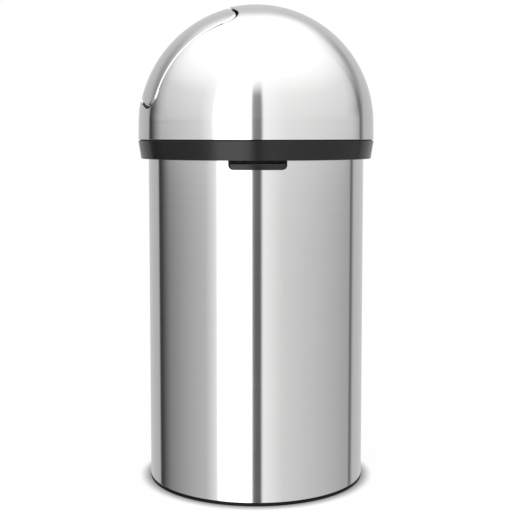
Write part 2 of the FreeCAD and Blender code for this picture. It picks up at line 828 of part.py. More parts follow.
lip_inner = housing_outer + gap * 2
lip_outer = body_radius + size("lip_reach")
lip_edge = size("lip_edge")
lip_blank = turned("lip_blank", [
    (lip_inner, lip_low),
    (lip_outer - lip_edge, lip_low),
    (lip_outer, lip_low + lip_edge),
    (lip_outer, lip_top - lip_edge),
    (lip_outer - lip_edge, lip_top),
    (lip_inner, lip_top),
])
lip_piece = common("lip_piece", [
    lip_blank,
    front_window("lip_window", size("lip_half_width"), lip_low, lip_top + size("tab_corner"), size("tab_corner")),
])
lever_face = housing_outer + gap
nose_low = lip_low + size("nose_rise")
lever_parts = [
    lip_piece,
    rod("lever_hub", size("pivot_hub"), size("hub_half") * 2, x=-size("hub_half"), y=pivot_y, z=pivot_z,
        turn=ALONG_X),
    block("lever_arm", (-size("lever_half"), size("lever_half")),
          (-(lever_face + size("lever_wall")), -lever_face), (lip_top - lip_edge, pivot_z)),
    block("lever_nose", (-size("nose_half"), size("nose_half")),
          (-(lip_inner + lip_edge), -(catch_tip + gap)), (nose_low, nose_low + size("nose_height"))),
]
lever_bore = rod("lever_bore", size("pivot_pin") + run_fit, size("pivot_pin_half") * 2,
                 x=-size("pivot_pin_half"), y=pivot_y, z=pivot_z, turn=ALONG_X)
node("latch_lever", cut("latch_lever", fuse("lever_solid", lever_parts), [lever_bore]))


# Opening in the dome, worked out along the flap's own axis: X up the slope, Y across, Z out of the dome

flap_turn = FreeCAD.Rotation(VECTOR(0, 1, 0), size("flap_elevation").number - 90)
FLAP_FRAME = FreeCAD.Placement(VECTOR(0, 0, dome_centre.number), flap_turn)
half_height = dome_radius - size("opening_end_margin")
half_width = dome_radius - size("opening_side_margin")


def punch(name, grow, top=None):
    """Makes a rounded block along the flap's axis, larger than the opening by grow on each side."""
    high = half_height + grow if top is None else top
    side = half_width + grow
    box = block(f"{name}_box", (-(half_height + grow), high), (-side, side),
                (size("punch_start"), size("punch_end")))
    edges = CORNERS if top is None else CORNERS[:2]
    return rounded(name, box, edges, size("opening_corner") + grow)


def slope(item):
    """Puts a piece made along the flap's axis where it belongs in the dome."""
    item.Placement = FLAP_FRAME
    return item


def outwards(name, radius, near, far, up, out):
    """Makes a rod across the flap at a height up the slope and a depth in the dome."""
    return rod(name, radius, as_length(far) - near, x=up, y=near, z=out, turn=ALONG_Y)


def skin_ball(name, radius):
    """Makes a sphere about the centre of the flap's flatter face."""
    return ball(name, radius, z=-(size("flap_flatness") + size("flap_recess")))


# Dome: hemisphere on a straight skirt, hem turned in at the bottom, sheet edge turned in round the opening

frame_outer = dome_inner - fit * 2
frame_inner = frame_outer - size("frame_wall")
hem_radius = dome_radius - size("hem_width")
dome_solid = fuse("dome_solid", [
    ball("dome_ball", dome_radius, z=dome_centre, low_angle=0),
    rod("dome_can", dome_radius, size("dome_skirt"), z=dome_low),
])
dome_hollow = [
    ball("hollow_ball", dome_inner, z=dome_centre, low_angle=0),
    rod("hollow_can", dome_inner, size("dome_skirt") - size("dome_wall"), z=clamp_low),
    rod("hollow_hem", hem_radius, size("dome_skirt"), z=dome_low),
]
dome_cap = cut("dome_cap", dome_solid, dome_hollow)
dome_open = cut("dome_open", dome_cap, [slope(punch("dome_punch", as_length(0)))])
return_wall = common("return_wall", [
    cut("return_band", punch("return_outer", size("dome_wall")), [punch("return_inner", as_length(0))]),
    cut("return_depth", ball("return_ball", dome_radius - size("dome_wall") / 2),
        [ball("return_end", frame_inner)]),
])
hem_holes = [
    screw_hole(f"hem_hole_{index}", clamp_circle, dome_low, clamp_low, angle)
    for index, angle in enumerate(clamp_angles)
]
node("dome_shell", cut("dome_shell", fuse("dome_whole", [dome_open, slope(return_wall)]), hem_holes))


# Clamp ring inside the dome's hem and the screws that hold the dome to the deck

clamp_outer = dome_inner - gap
clamp_inner = clamp_outer - size("clamp_width")
clamp_blank = turned("clamp_blank", [
    (clamp_inner, clamp_low),
    (clamp_outer, clamp_low),
    (clamp_outer, clamp_low + size("clamp_lip")),
    (clamp_outer - size("clamp_wall"), clamp_low + size("clamp_lip")),
    (clamp_outer - size("clamp_wall"), clamp_low + size("clamp_thickness")),
    (clamp_inner, clamp_low + size("clamp_thickness")),
])
clamp_holes = [
    screw_hole(f"clamp_hole_{index}", clamp_circle, clamp_low, clamp_top + fit, angle)
    for index, angle in enumerate(clamp_angles)
]
node("dome_clamp_ring", cut("dome_clamp_ring", clamp_blank, clamp_holes))
clamp_screws = [
    around(screw(f"clamp_screw_{index}", clamp_circle, deck_low, deck_low, clamp_top - deck_low, up=True), angle)
    for index, angle in enumerate(clamp_angles)
]
node("clamp_screws", group("clamp_screws", clamp_screws))


# Frame bonded inside the opening, with two bearings for the flap's axle

axle_up = half_height + size("axle_rise")
bearing_outer = size("axle_half") - size("axle_tail")
bearing_inner = bearing_outer - size("bearing_width")
axle_top = frame_outer.leg(axle_up + size("axle_radius"), size("axle_half"))
axle_out = axle_top - size("axle_radius") - size("axle_cover")
bearing_radius = size("bearing_radius")
frame_band = cut("frame_band", common("frame_patch", [
    cut("frame_shell", ball("frame_ball", frame_outer), [ball("frame_hollow", frame_inner)]),
    punch("frame_block", size("frame_width")),
]), [punch("frame_hole", size("dome_wall") + fit * 2)])
frame_parts = [frame_band]
for side in SIDES:
    tag = "back" if side > 0 else "front"
    near = bearing_inner if side > 0 else -bearing_outer
    far = near + size("bearing_width")
    bearing_box = block(f"bearing_box_{tag}", (axle_up - bearing_radius, axle_up + bearing_radius), (near, far),
                        (axle_out - bearing_radius, dome_radius))
    frame_parts.append(common(f"bearing_{tag}", [bearing_box, ball(f"bearing_ball_{tag}", frame_outer)]))
frame_bore = outwards("frame_bore", size("axle_radius") + run_fit, -size("axle_half"), size("axle_half"),
                      axle_up, axle_out)
node("opening_frame", slope(cut("opening_frame", fuse("frame_solid", frame_parts), [frame_bore])))


# Flap: steel face with its edge turned in, and a plastic back with a lip behind the frame and two arms

flap_grow = -size("flap_gap")
flap_radius = dome_radius + size("flap_flatness")
flap_inner = flap_radius - size("flap_wall")
lip_ball_outer = frame_inner - gap
lip_ball_inner = lip_ball_outer - size("flap_lip")
skin_block = common("skin_block", [
    punch("skin_punch", flap_grow),
    skin_ball("skin_face", flap_radius),
])
skin_hollow = common("skin_hollow", [
    punch("skin_hollow_punch", flap_grow - size("flap_wall")),
    skin_ball("skin_back", flap_inner),
])
node("flap_skin", slope(cut("flap_skin", skin_block, [
    skin_hollow,
    skin_ball("skin_end", flap_radius - size("flap_return")),
])))

liner_panel = cut("liner_panel", common("liner_block", [
    punch("liner_punch", flap_grow - size("flap_wall") - fit),
    skin_ball("liner_face", flap_inner - fit),
]), [ball("liner_hollow", lip_ball_inner)])
liner_lip = common("liner_lip", [
    cut("lip_shell", ball("lip_ball", lip_ball_outer), [ball("lip_hollow", lip_ball_inner)]),
    punch("lip_punch", size("flap_lip_lap"), top=half_height - size("flap_lip_drop")),
])
hub_outer = bearing_inner - size("hub_space")
hub_inner = hub_outer - size("hub_width")
web_up = half_height - size("web_length")
web_low = axle_out - size("hub_radius") / 2
web_edge = half_height + flap_grow - size("flap_wall") - fit
liner_parts = [liner_panel, liner_lip]
for side in SIDES:
    tag = "back" if side > 0 else "front"
    near = hub_inner if side > 0 else -hub_outer
    far = near + size("hub_width")
    liner_parts.append(outwards(f"flap_hub_{tag}", size("hub_radius"), near, far, axle_up, axle_out))
    liner_parts.append(block(f"flap_arm_{tag}", (web_up, axle_up), (near, far),
                             (web_low, axle_out + size("hub_radius"))))
    web_box = block(f"flap_web_box_{tag}", (web_up, web_edge), (near, far), (web_low, dome_radius))
    liner_parts.append(common(f"flap_web_{tag}", [web_box, skin_ball(f"web_ball_{tag}", flap_inner - fit)]))
liner_bore = outwards("liner_bore", size("axle_radius") + run_fit / 2, -size("axle_half"), size("axle_half"),
                      axle_up, axle_out)
node("flap_liner", slope(cut("flap_liner", fuse("liner_solid", liner_parts), [liner_bore])))
node("flap_axle", slope(group("flap_axle", [
    outwards("axle_rod", size("axle_radius"), -size("axle_half"), size("axle_half"), axle_up, axle_out),
])))


def sleeve(name, outer, bore, near, far):
    """Makes a ring on the flap's axle."""
    solid = outwards(f"{name}_solid", outer, near, far, axle_up, axle_out)
    hole = outwards(f"{name}_hole", bore, near - fit, far + fit, axle_up, axle_out)
    return cut(name, solid, [hole])


axle_bore = size("axle_radius") + run_fit / 2
collar_far = hub_outer + fit + size("collar_length")
collars = [
    sleeve("collar_back", size("collar_radius"), axle_bore, hub_outer + fit, collar_far),
    sleeve("collar_front", size("collar_radius"), axle_bore, -collar_far, -(hub_outer + fit)),
]
node("axle_collars", slope(group("axle_collars", collars)))


# Spring drum and damper: two closed cases on the axle that hang from the frame by a lug

drum_radius = size("drum_radius")
drum_wall = size("drum_wall")
drum_inner = drum_radius - drum_wall
drum_far = hub_inner - size("drum_space")
drum_near = drum_far - size("drum_length")
case_bore = size("axle_radius") + gap


def case(name, near, far, open_low):
    """Makes one case, open at the end where its cap goes."""
    solid = outwards(f"{name}_solid", drum_radius, near, far, axle_up, axle_out)
    middle = (near + far) / 2
    lug_box = block(f"{name}_lug_box", (axle_up - size("lug_half"), axle_up + size("lug_half")),
                    (middle - size("lug_length") / 2, middle + size("lug_length") / 2), (axle_out, dome_radius))
    lug = common(f"{name}_lug", [lug_box, ball(f"{name}_lug_ball", frame_inner - fit)])
    hollow_near = near if open_low else near + drum_wall
    hollow_far = far - drum_wall if open_low else far
    hollow = outwards(f"{name}_hollow", drum_inner, hollow_near, hollow_far, axle_up, axle_out)
    hole = outwards(f"{name}_bore", case_bore, near - fit, far + fit, axle_up, axle_out)
    return cut(name, fuse(f"{name}_whole", [solid, lug]), [hollow, hole])


node("spring_drum", slope(case("spring_drum", drum_near, drum_far, open_low=False)))
node("spring_cap", slope(sleeve("spring_cap", drum_inner - fit / 2, case_bore, drum_far - drum_wall, drum_far)))
node("return_spring", slope(sleeve("return_spring", size("spring_radius"), size("spring_bore"),
                                   drum_near + drum_wall + fit, drum_far - drum_wall - fit)))
node("damper_body", slope(case("damper_body", -drum_far, -drum_near, open_low=True)))
node("damper_cap", slope(sleeve("damper_cap", drum_inner - fit / 2, case_bore, -drum_far, drum_wall - drum_far)))
node("damper_rotor", slope(sleeve("damper_rotor", size("rotor_radius"), axle_bore,
                                  drum_wall + gap - drum_far, -(drum_near + drum_wall + gap))))


# Build, test and write every sub-part

doc.recompute()
faults = [item.Name for item in doc.Objects if "Invalid" in item.State or "Error" in item.State]
if faults:
    raise RuntimeError(f"objects that failed: {faults}")
os.makedirs("parts", exist_ok=True)
for name, item in nodes:
    shape = item.Shape
    if shape.isNull() or not shape.isValid() or not shape.Solids:
        raise RuntimeError(f"{name} has no valid solid")
    shape.exportStep(f"parts/{name}.step")
    box = shape.BoundBox
    print(f"{name}: {len(shape.Solids)} solids, {shape.Volume / 1000:.2f} cm3, "
          f"x {box.XMin:.1f} {box.XMax:.1f} y {box.YMin:.1f} {box.YMax:.1f} z {box.ZMin:.1f} {box.ZMax:.1f}")
print(f"lid hinge y {hinge_y.number:.3f} z {hinge_z.number:.3f}")
print(f"lever pin y {pivot_y.number:.3f} z {pivot_z.number:.3f}, bail z {bail_z.number:.3f}")
axle_spot = FLAP_FRAME.multVec(VECTOR(axle_up.number, 0, axle_out.number))
print(f"flap axle x {axle_spot.x:.3f} z {axle_spot.z:.3f}")
print(f"whole height {dome_centre.number + dome_radius.number:.1f}")
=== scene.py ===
import json
import logging
import math
from dataclasses import dataclass
from enum import Enum
from typing import Iterable, Sequence

import bmesh
import bpy
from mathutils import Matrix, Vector


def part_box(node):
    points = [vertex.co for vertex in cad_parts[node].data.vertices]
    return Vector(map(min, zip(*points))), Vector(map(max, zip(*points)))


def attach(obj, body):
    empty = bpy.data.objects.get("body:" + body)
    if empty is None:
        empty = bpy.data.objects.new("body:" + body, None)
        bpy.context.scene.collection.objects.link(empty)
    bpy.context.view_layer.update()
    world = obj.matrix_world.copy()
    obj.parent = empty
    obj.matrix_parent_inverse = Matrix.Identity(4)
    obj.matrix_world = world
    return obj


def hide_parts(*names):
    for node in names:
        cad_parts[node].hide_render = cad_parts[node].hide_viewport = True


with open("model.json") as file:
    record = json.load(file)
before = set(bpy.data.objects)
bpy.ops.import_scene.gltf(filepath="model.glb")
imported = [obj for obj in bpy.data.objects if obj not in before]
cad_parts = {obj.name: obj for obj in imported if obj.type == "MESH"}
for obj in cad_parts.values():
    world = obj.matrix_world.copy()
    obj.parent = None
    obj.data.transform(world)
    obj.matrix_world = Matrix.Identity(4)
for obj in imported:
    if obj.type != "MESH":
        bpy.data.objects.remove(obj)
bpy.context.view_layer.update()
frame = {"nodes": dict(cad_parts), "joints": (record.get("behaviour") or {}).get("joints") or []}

LOG = logging.getLogger("push_bin")
Point = tuple[float, float, float]
Outline = Sequence[tuple[float, float]]
Socket = bpy.types.NodeSocket
Inputs = dict[str | int, Socket | float | Sequence[float]]
WHITE = (1.0, 1.0, 1.0, 1.0)
MERGE_DISTANCE = 0.000001

# The turns of a rounded edge's rows, from its side to its face
EDGE_ROWS = 5
EDGE_TURNS = [math.pi / 2 * row / EDGE_ROWS for row in range(EDGE_ROWS + 1)]


# Bench tools

def put_down_all() -> None:
    """Leaves edit mode and deselects every object."""
    if bpy.context.object and bpy.context.object.mode != "OBJECT":
        bpy.ops.object.mode_set(mode="OBJECT")
    bpy.ops.object.select_all(action="DESELECT")


def pick_up(piece: bpy.types.Object) -> None:
    """Makes one object the only selected one.

    Args:
        piece: The object to select.
    """
    put_down_all()
    piece.select_set(True)
    bpy.context.view_layer.objects.active = piece


def name_piece(name: str) -> bpy.types.Object:
    """Names the object that was just added, and its mesh.

    Args:
        name: The piece's name.

    Returns:
        The active object.
    """
    piece = bpy.context.active_object
    piece.name = name
    piece.data.name = name
    return piece


def close_mesh() -> None:
    """Merges points in one place, turns the faces outwards and leaves edit mode."""
    bpy.ops.mesh.select_all(action="SELECT")
    bpy.ops.mesh.remove_doubles(threshold=MERGE_DISTANCE)
    bpy.ops.mesh.normals_make_consistent(inside=False)
    bpy.ops.object.mode_set(mode="OBJECT")


def hold_corners(outline: Outline, reach: float = 0.0012) -> Outline:
    """Adds a point near both ends of each long side, so that rounding stays near the corners.

    Args:
        outline: The corners of a closed outline.
        reach: How far from a corner the new points lie.

    Returns:
        The outline with the new points.
    """
    held = []
    for start, end in zip(outline, list(outline[1:]) + [outline[0]]):
        side = Vector(end) - Vector(start)
        held.append(start)
        if side.length > 4 * reach:
            step = side.normalized() * reach
            held += [tuple(Vector(start) + step), tuple(Vector(end) - step)]
    return held


def turn_outline(name: str, outline: Outline, steps: int) -> bpy.types.Object:
    """Draws an outline of radius and height pairs by extruding a point, and spins it about Z.

    Args:
        name: The piece's name.
        outline: The corners of the outline, in metres. It is closed, unless it starts and ends on the axis.
        steps: How many steps the full turn has.

    Returns:
        The turned piece.
    """
    put_down_all()
    outline = hold_corners(outline)
    bpy.ops.mesh.primitive_plane_add(location=(0, 0, 0))
    piece = name_piece(name)
    bpy.ops.object.mode_set(mode="EDIT")
    bpy.ops.mesh.select_all(action="SELECT")
    bpy.ops.mesh.merge(type="CENTER")
    bpy.ops.transform.translate(value=(outline[0][0], 0, outline[0][1]))
    for (radius, height), (next_radius, next_height) in zip(outline, outline[1:]):
        step = (next_radius - radius, 0, next_height - height)
        bpy.ops.mesh.extrude_region_move(TRANSFORM_OT_translate={"value": step})
    if outline[0][0] > 0:
        sheet = bmesh.from_edit_mesh(piece.data)
        for corner in sheet.verts:
            corner.select = len(corner.link_edges) == 1
        sheet.select_flush(True)
        bmesh.update_edit_mesh(piece.data)
        bpy.ops.mesh.edge_face_add()
    bpy.ops.mesh.select_all(action="SELECT")
    bpy.ops.mesh.spin(steps=steps, angle=2 * math.pi, center=(0, 0, 0), axis=(0, 0, 1), use_auto_merge=True)
    close_mesh()
    return piece


def loft_rings(name: str, rings: Sequence[Sequence[Point]], close_ends: bool) -> bpy.types.Object:
    """Lays a circle on the first ring, then extrudes it ring by ring.

    Args:
        name: The piece's name.
        rings: Rings with the same number of points, each given in order.
        close_ends: Whether the first and the last ring are filled with a face.

    Returns:
        The lofted piece.
    """
    put_down_all()
    bpy.ops.mesh.primitive_circle_add(vertices=len(rings[0]), radius=1.0, fill_type="NOTHING")
    piece = name_piece(name)
    bpy.ops.object.mode_set(mode="EDIT")
    bpy.ops.mesh.select_all(action="SELECT")
    sheet = bmesh.from_edit_mesh(piece.data)
    place = sheet.verts.layers.int.new("place")
    sheet.verts.ensure_lookup_table()
    for index, corner in enumerate(sheet.verts):
        corner[place] = index
        corner.co = rings[0][index]
    bmesh.update_edit_mesh(piece.data)
    if close_ends:
        bpy.ops.mesh.edge_face_add()
        bpy.ops.mesh.select_all(action="SELECT")
    for ring in rings[1:]:
        bpy.ops.mesh.extrude_region_move(TRANSFORM_OT_translate={"value": (0, 0, 0)})
        sheet = bmesh.from_edit_mesh(piece.data)
        place = sheet.verts.layers.int["place"]
        for corner in sheet.verts:
            if corner.select:
                corner.co = ring[corner[place]]
        bmesh.update_edit_mesh(piece.data)
    close_mesh()
    piece.data.attributes.remove(piece.data.attributes["place"])
    return piece


def face_away_from(piece: bpy.types.Object, centre: Vector) -> None:
    """Turns an open sheet's faces so that they point away from a centre.

    Args:
        piece: The sheet.
        centre: The point that the faces look away from.
    """
    facing = sum((face.center - centre).dot(face.normal) * face.area for face in piece.data.polygons)
    if facing < 0:
        pick_up(piece)
        bpy.ops.object.mode_set(mode="EDIT")
        bpy.ops.mesh.select_all(action="SELECT")
        bpy.ops.mesh.flip_normals()
        bpy.ops.object.mode_set(mode="OBJECT")


def apply_tool(piece: bpy.types.Object, kind: str, **settings: object) -> None:
    """Adds one modifier, sets it and applies it.

    Args:
        piece: The piece to work on.
        kind: The modifier's type.
        **settings: Values for the modifier's properties.
    """
    pick_up(piece)
    tool = piece.modifiers.new(kind.title(), kind)
    for key, value in settings.items():
        setattr(tool, key, value)
    bpy.ops.object.modifier_apply(modifier=tool.name)


def soften(piece: bpy.types.Object, width: float, segments: int = 3, sharp: float = 35.0) -> None:
    """Rounds a piece's sharp edges and smooths its shading.

    Args:
        piece: The piece to finish.
        width: The width of the rounding.
        segments: How many steps the rounding has.
        sharp: The least angle of a sharp edge, in degrees.
    """
    apply_tool(piece, "BEVEL", width=width, segments=segments, limit_method="ANGLE",
               angle_limit=math.radians(sharp), use_clamp_overlap=True)
    smooth(piece)


def smooth(piece: bpy.types.Object, angle: float = 40.0) -> None:
    """Shades a piece smooth up to an angle in degrees."""
    pick_up(piece)
    bpy.ops.object.shade_smooth_by_angle(angle=math.radians(angle))


def thicken(piece: bpy.types.Object, wall: float) -> None:
    """Gives an open sheet a wall on its inner side."""
    apply_tool(piece, "SOLIDIFY", thickness=wall, offset=-1.0, use_even_offset=True)


def weld(pieces: Sequence[bpy.types.Object]) -> None:
    """Joins pieces into the first one.

    Args:
        pieces: The pieces to join.
    """
    pick_up(pieces[0])
    for piece in pieces:
        piece.select_set(True)
    bpy.ops.object.join()


def bar(name: str, low: Point, high: Point, edge: float) -> bpy.types.Object:
    """Makes a block between two corners with rounded edges.

    Args:
        name: The piece's name.
        low: The lowest corner.
        high: The highest corner.
        edge: The width of the rounding.

    Returns:
        The block.
    """
    put_down_all()
    middle = [(a + b) / 2 for a, b in zip(low, high)]
    bpy.ops.mesh.primitive_cube_add(size=1.0, location=middle)
    piece = name_piece(name)
    piece.scale = [b - a for a, b in zip(low, high)]
    bpy.ops.object.transform_apply(location=True, rotation=True, scale=True)
    soften(piece, edge)
    return piece


def peg(name: str, radius: float, start: Point, end: Point, edge: float,
        sides: int = 48) -> bpy.types.Object:
    """Makes a rod between two points with rounded ends.

    Args:
        name: The piece's name.
        radius: The rod's radius.
        start: The middle of one end.
        end: The middle of the other end.
        edge: The width of the rounding.
        sides: How many flat sides stand for its roundness.

    Returns:
        The rod.
    """
    put_down_all()
    line = Vector(end) - Vector(start)
    turn = line.to_track_quat("Z", "Y").to_euler()
    bpy.ops.mesh.primitive_cylinder_add(vertices=sides, radius=radius, depth=line.length,
                                        location=(Vector(start) + Vector(end)) / 2, rotation=turn)
    piece = name_piece(name)
    bpy.ops.object.transform_apply(location=True, rotation=True, scale=True)
    soften(piece, edge)
    return piece


def rounded_square(half_x: float, half_y: float, corner: float, points: int) -> list[tuple[float, float]]:
    """Lists points round a square with rounded corners, evenly along its edge.

    Args:
        half_x: Half of the first side.
        half_y: Half of the second side.
        corner: The corner's radius.
        points: How many points to give.

    Returns:
        The points in order, anticlockwise from the middle of the +X side.
    """
    x, y = half_x - corner, half_y - corner
    arc = corner * math.pi / 2
    sides = (y, 2 * x, 2 * y, 2 * x, y)
    middles = ((x, y), (-x, y), (-x, -y), (x, -y), (x, 0.0))
    spots = []
    for index in range(points):
        left = (sum(sides) + 4 * arc) * index / points
        quarter = 0
        while left > sides[quarter] + arc:
            left -= sides[quarter] + arc
            quarter += 1
        turn = quarter * math.pi / 2
        straight = max(0.0, sides[quarter] - left)
        bend = turn + max(0.0, left - sides[quarter]) / corner
        spots.append((middles[quarter][0] + corner * math.cos(bend) + straight * math.sin(turn),
                      middles[quarter][1] + corner * math.sin(bend) - straight * math.cos(turn)))
    return spots


# Finishes

@dataclass
class Patchboard:
    """Adds linked nodes to one tree."""

    tree: bpy.types.NodeTree

    def fill(self, node: bpy.types.Node, inputs: Inputs) -> None:
        """Links or sets a node's inputs.

        Args:
            node: The node.
            inputs: A socket to link or a constant to set, by the input's name or number.
        """
        for key, value in inputs.items():
            if isinstance(value, Socket):
                self.tree.links.new(value, node.inputs[key])
            else:
                node.inputs[key].default_value = value

    def add(self, kind: str, inputs: Inputs | None = None) -> bpy.types.Node:
        """Adds one node and fills its inputs.

        Args:
            kind: The node's type.
            inputs: What fill takes.

        Returns:
            The node.
        """
        node = self.tree.nodes.new(kind)
        self.fill(node, inputs or {})
        return node

    def calculate(self, kind: str, *values: Socket | float) -> Socket:
        """Adds one math node.

        Args:
            kind: The operation.
            *values: Sockets or numbers for its inputs.

        Returns:
            The node's result.
        """
        node = self.add("ShaderNodeMath")
        node.operation = kind
        self.fill(node, dict(enumerate(values)))
        return node.outputs["Value"]

    def ease(self, value: Socket, span: tuple[float, float], soft: bool = True) -> Socket:
        """Maps a value from 0 to 1 along a span.

        Args:
            value: The value to map.
            span: Where the result is 0 and where it is 1.
            soft: Whether both ends are eased.

        Returns:
            The mapped value.
        """
        node = self.add("ShaderNodeMapRange")
        node.interpolation_type = "SMOOTHSTEP" if soft else "LINEAR"
        self.fill(node, {"Value": value, "From Min": span[0], "From Max": span[1]})
        return node.outputs["Result"]

    def ramp(self, value: Socket, span: tuple[float, float],
             marks: Iterable[tuple[float, float]]) -> Socket:
        """Reads a value off a line through marks.

        Args:
            value: The value, from 0 to 1 along the span.
            span: The places that stand for 0 and for 1.
            marks: Places and their levels, in order.

        Returns:
            The level.
        """
        node = self.add("ShaderNodeValToRGB", {"Fac": value})
        stops = node.color_ramp.elements
        low, high = span
        for index, (place, level) in enumerate(marks):
            share = (place - low) / (high - low)
            stop = stops[index] if index < len(stops) else stops.new(share)
            stop.position = share
            stop.color = [level] * 3 + [1.0]
        return node.outputs["Color"]


class Grain(Enum):
    """Which way a finish's fine lines run."""

    ROUND = (2.0, 2.0, 2200.0)
    EVEN = (1.0, 1.0, 1.0)


@dataclass(frozen=True)
class Finish:
    """One surface finish, drawn with fine noise and a share of wide noise on Object coordinates."""

    name: str
    colour: tuple[float, float, float]
    vary: float
    roughness: float
    rough_vary: float
    grain: Grain = Grain.EVEN
    scale: float = 900.0
    bump: float = 0.1
    bump_depth: float = 0.0001
    metallic: float = 0.0
    anisotropic: float = 0.0
    coat: float = 0.0
    specular: float = 0.5
    fine_detail: float = 4.0
    cloud_scale: float = 9.0
    cloud_detail: float = 3.0
    cloud_share: float = 0.35
    rough_span: tuple[float, float] = (0.4, 0.95)
    shade_span: tuple[float, float] = (0.35, 0.9)
    stretch_turn: float = 0.25

    def make(self) -> bpy.types.Material:
        """Builds the node material.

        Returns:
            The material.
        """
        material = bpy.data.materials.new(self.name)
        material.use_nodes = True
        shader = material.node_tree.nodes["Principled BSDF"]
        board = Patchboard(material.node_tree)
        where = board.add("ShaderNodeTexCoord").outputs["Object"]
        stretch = board.add("ShaderNodeMapping", {"Vector": where, "Scale": self.grain.value})
        fine = board.add("ShaderNodeTexNoise", {
            "Vector": stretch.outputs["Vector"],
            "Scale": 1.0 if self.grain is Grain.ROUND else self.scale,
            "Detail": self.fine_detail,
        }).outputs["Fac"]
        cloud = board.add("ShaderNodeTexNoise", {
            "Vector": where, "Scale": self.cloud_scale, "Detail": self.cloud_detail,
        }).outputs["Fac"]
        blend = board.calculate("MULTIPLY_ADD", cloud, self.cloud_share, fine)
        rough = board.add("ShaderNodeMapRange", {
            "Value": blend, "From Min": self.rough_span[0], "From Max": self.rough_span[1],
            "To Min": self.roughness - self.rough_vary, "To Max": self.roughness + self.rough_vary,
        })
        shade = board.add("ShaderNodeValToRGB", {"Fac": blend})
        for stop, place, sign in zip(shade.color_ramp.elements, self.shade_span, (-1, 1)):
            stop.position = place
            stop.color = [max(0.0, part * (1 + sign * self.vary)) for part in self.colour] + [1.0]
        relief = board.add("ShaderNodeBump", {
            "Strength": self.bump, "Distance": self.bump_depth, "Height": fine,
        })
        board.fill(shader, {
            "Base Color": shade.outputs["Color"],
            "Roughness": rough.outputs["Result"],
            "Normal": relief.outputs["Normal"],
            "Metallic": self.metallic,
            "Anisotropic": self.anisotropic,
            "Coat Weight": self.coat,
            "Specular IOR Level": self.specular,
        })
        if self.anisotropic:
            round_way = board.add("ShaderNodeTangent")
            round_way.direction_type = "RADIAL"
            round_way.axis = "Z"
            board.fill(shader, {
                "Tangent": round_way.outputs["Tangent"], "Anisotropic Rotation": self.stretch_turn,
            })
        return material


STEEL = Finish("brushed_steel", (0.78, 0.78, 0.775), 0.03, 0.115, 0.015, Grain.ROUND, bump=0.015,
               bump_depth=0.00005, metallic=1.0, anisotropic=0.7)
BLACK = Finish("black_plastic", (0.0045, 0.0045, 0.0048), 0.15, 0.22, 0.04, scale=1500.0, bump=0.08)
# Matt black plastic whose colour is drawn darker than the black plastic as painted shade, for the latch
# recess, the groove under the dome and the base strip by the floor
MATT_PAINTED_SHADE = Finish("matt_plastic_painted_shade", (0.0025, 0.0025, 0.0025), 0.15, 0.6, 0.05, scale=1200.0, bump=0.1,
              specular=0.2)
INNER = Finish("inner_plastic", (0.02, 0.02, 0.021), 0.2, 0.5, 0.06, scale=1200.0, bump=0.15)
BUCKET = Finish("bucket_plastic", (0.045, 0.045, 0.048), 0.12, 0.45, 0.06, scale=1000.0, bump=0.12)
RUBBER = Finish("black_rubber", (0.018, 0.018, 0.018), 0.2, 0.7, 0.08, scale=800.0, bump=0.2)
ZINC = Finish("zinc_steel", (0.62, 0.62, 0.61), 0.08, 0.3, 0.06, scale=600.0, bump=0.05, metallic=1.0)
PAINT = Finish("hinge_paint", (0.02, 0.02, 0.02), 0.15, 0.4, 0.06, scale=700.0, bump=0.15, coat=0.2)

NODE_FINISHES = {
    STEEL: "body_shell dome_shell flap_skin",
    BLACK: "lid_ring latch_lever",
    # The base and the latch housing take the darker matt black, which is partly painted shade
    MATT_PAINTED_SHADE: "base_plate latch_housing",
    INNER: "body_rim dome_clamp_ring opening_frame flap_liner spring_drum spring_cap damper_body "
           "damper_cap damper_rotor bail_grip",
    BUCKET: "inner_bucket",
    RUBBER: "floor_ring lid_pads",
    ZINC: "base_screws hinge_rivets hinge_pin latch_catch catch_rivets bucket_bail clamp_screws "
          "hinge_arm_screws lever_pin flap_axle axle_collars return_spring",
    PAINT: "hinge_bracket hinge_arm",
}


class Wardrobe:
    """Keeps one material for each finish and dresses pieces and nodes with it."""

    def __init__(self) -> None:
        """Makes every material."""
        self.materials = {finish: finish.make() for finish in NODE_FINISHES}

    def dress(self, piece: bpy.types.Object, finish: Finish) -> None:
        """Gives a piece one finish."""
        piece.data.materials.clear()
        piece.data.materials.append(self.materials[finish])

    def dress_faces(self, piece: bpy.types.Object, finish: Finish,
                    faces: Iterable[bpy.types.MeshPolygon]) -> None:
        """Gives some faces of a dressed piece a second finish.

        Args:
            piece: The dressed piece.
            finish: The second finish.
            faces: The faces that get it.
        """
        piece.data.materials.append(self.materials[finish])
        for face in faces:
            face.material_index = len(piece.data.materials) - 1

    def dress_nodes(self) -> None:
        """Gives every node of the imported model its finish."""
        for finish, names in NODE_FINISHES.items():
            for name in names.split():
                for slot in frame["nodes"][name].material_slots:
                    slot.material = self.materials[finish]


@dataclass
class SubAssembly:
    """Pieces of the bin that are built together."""

    wardrobe: Wardrobe

    def seat(self, piece: bpy.types.Object, body: str, node: str, finish: Finish | None,
             slot: str) -> None:
        """Dresses a piece, rides it on a body and lets it stand for a node.

        Args:
            piece: The finished piece.
            body: The body that carries it.
            node: The node that it stands for.
            finish: Its finish, or None where its parts are dressed.
            slot: The record's material slot; not used.
        """
        if finish:
            self.wardrobe.dress(piece, finish)
        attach(piece, body)
        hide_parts(node)
        LOG.info("%s rides on %s with %d faces", piece.name, body, len(piece.data.polygons))


# Sub-assemblies

@dataclass(frozen=True)
class Span:
    """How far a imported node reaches: its radius about Z, and its lowest and highest points."""

    radius: float
    low: float
    top: float

    @classmethod
    def of(cls, node: str) -> "Span":
        """Reads a node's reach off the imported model."""
        low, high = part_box(node)
        return cls(high.x, low.z, high.z)


def pivot_of(joint: str) -> Vector:
    """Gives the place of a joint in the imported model."""
    return next(Vector(row["pos_m"]) for row in frame["joints"] if row["name"] == joint)


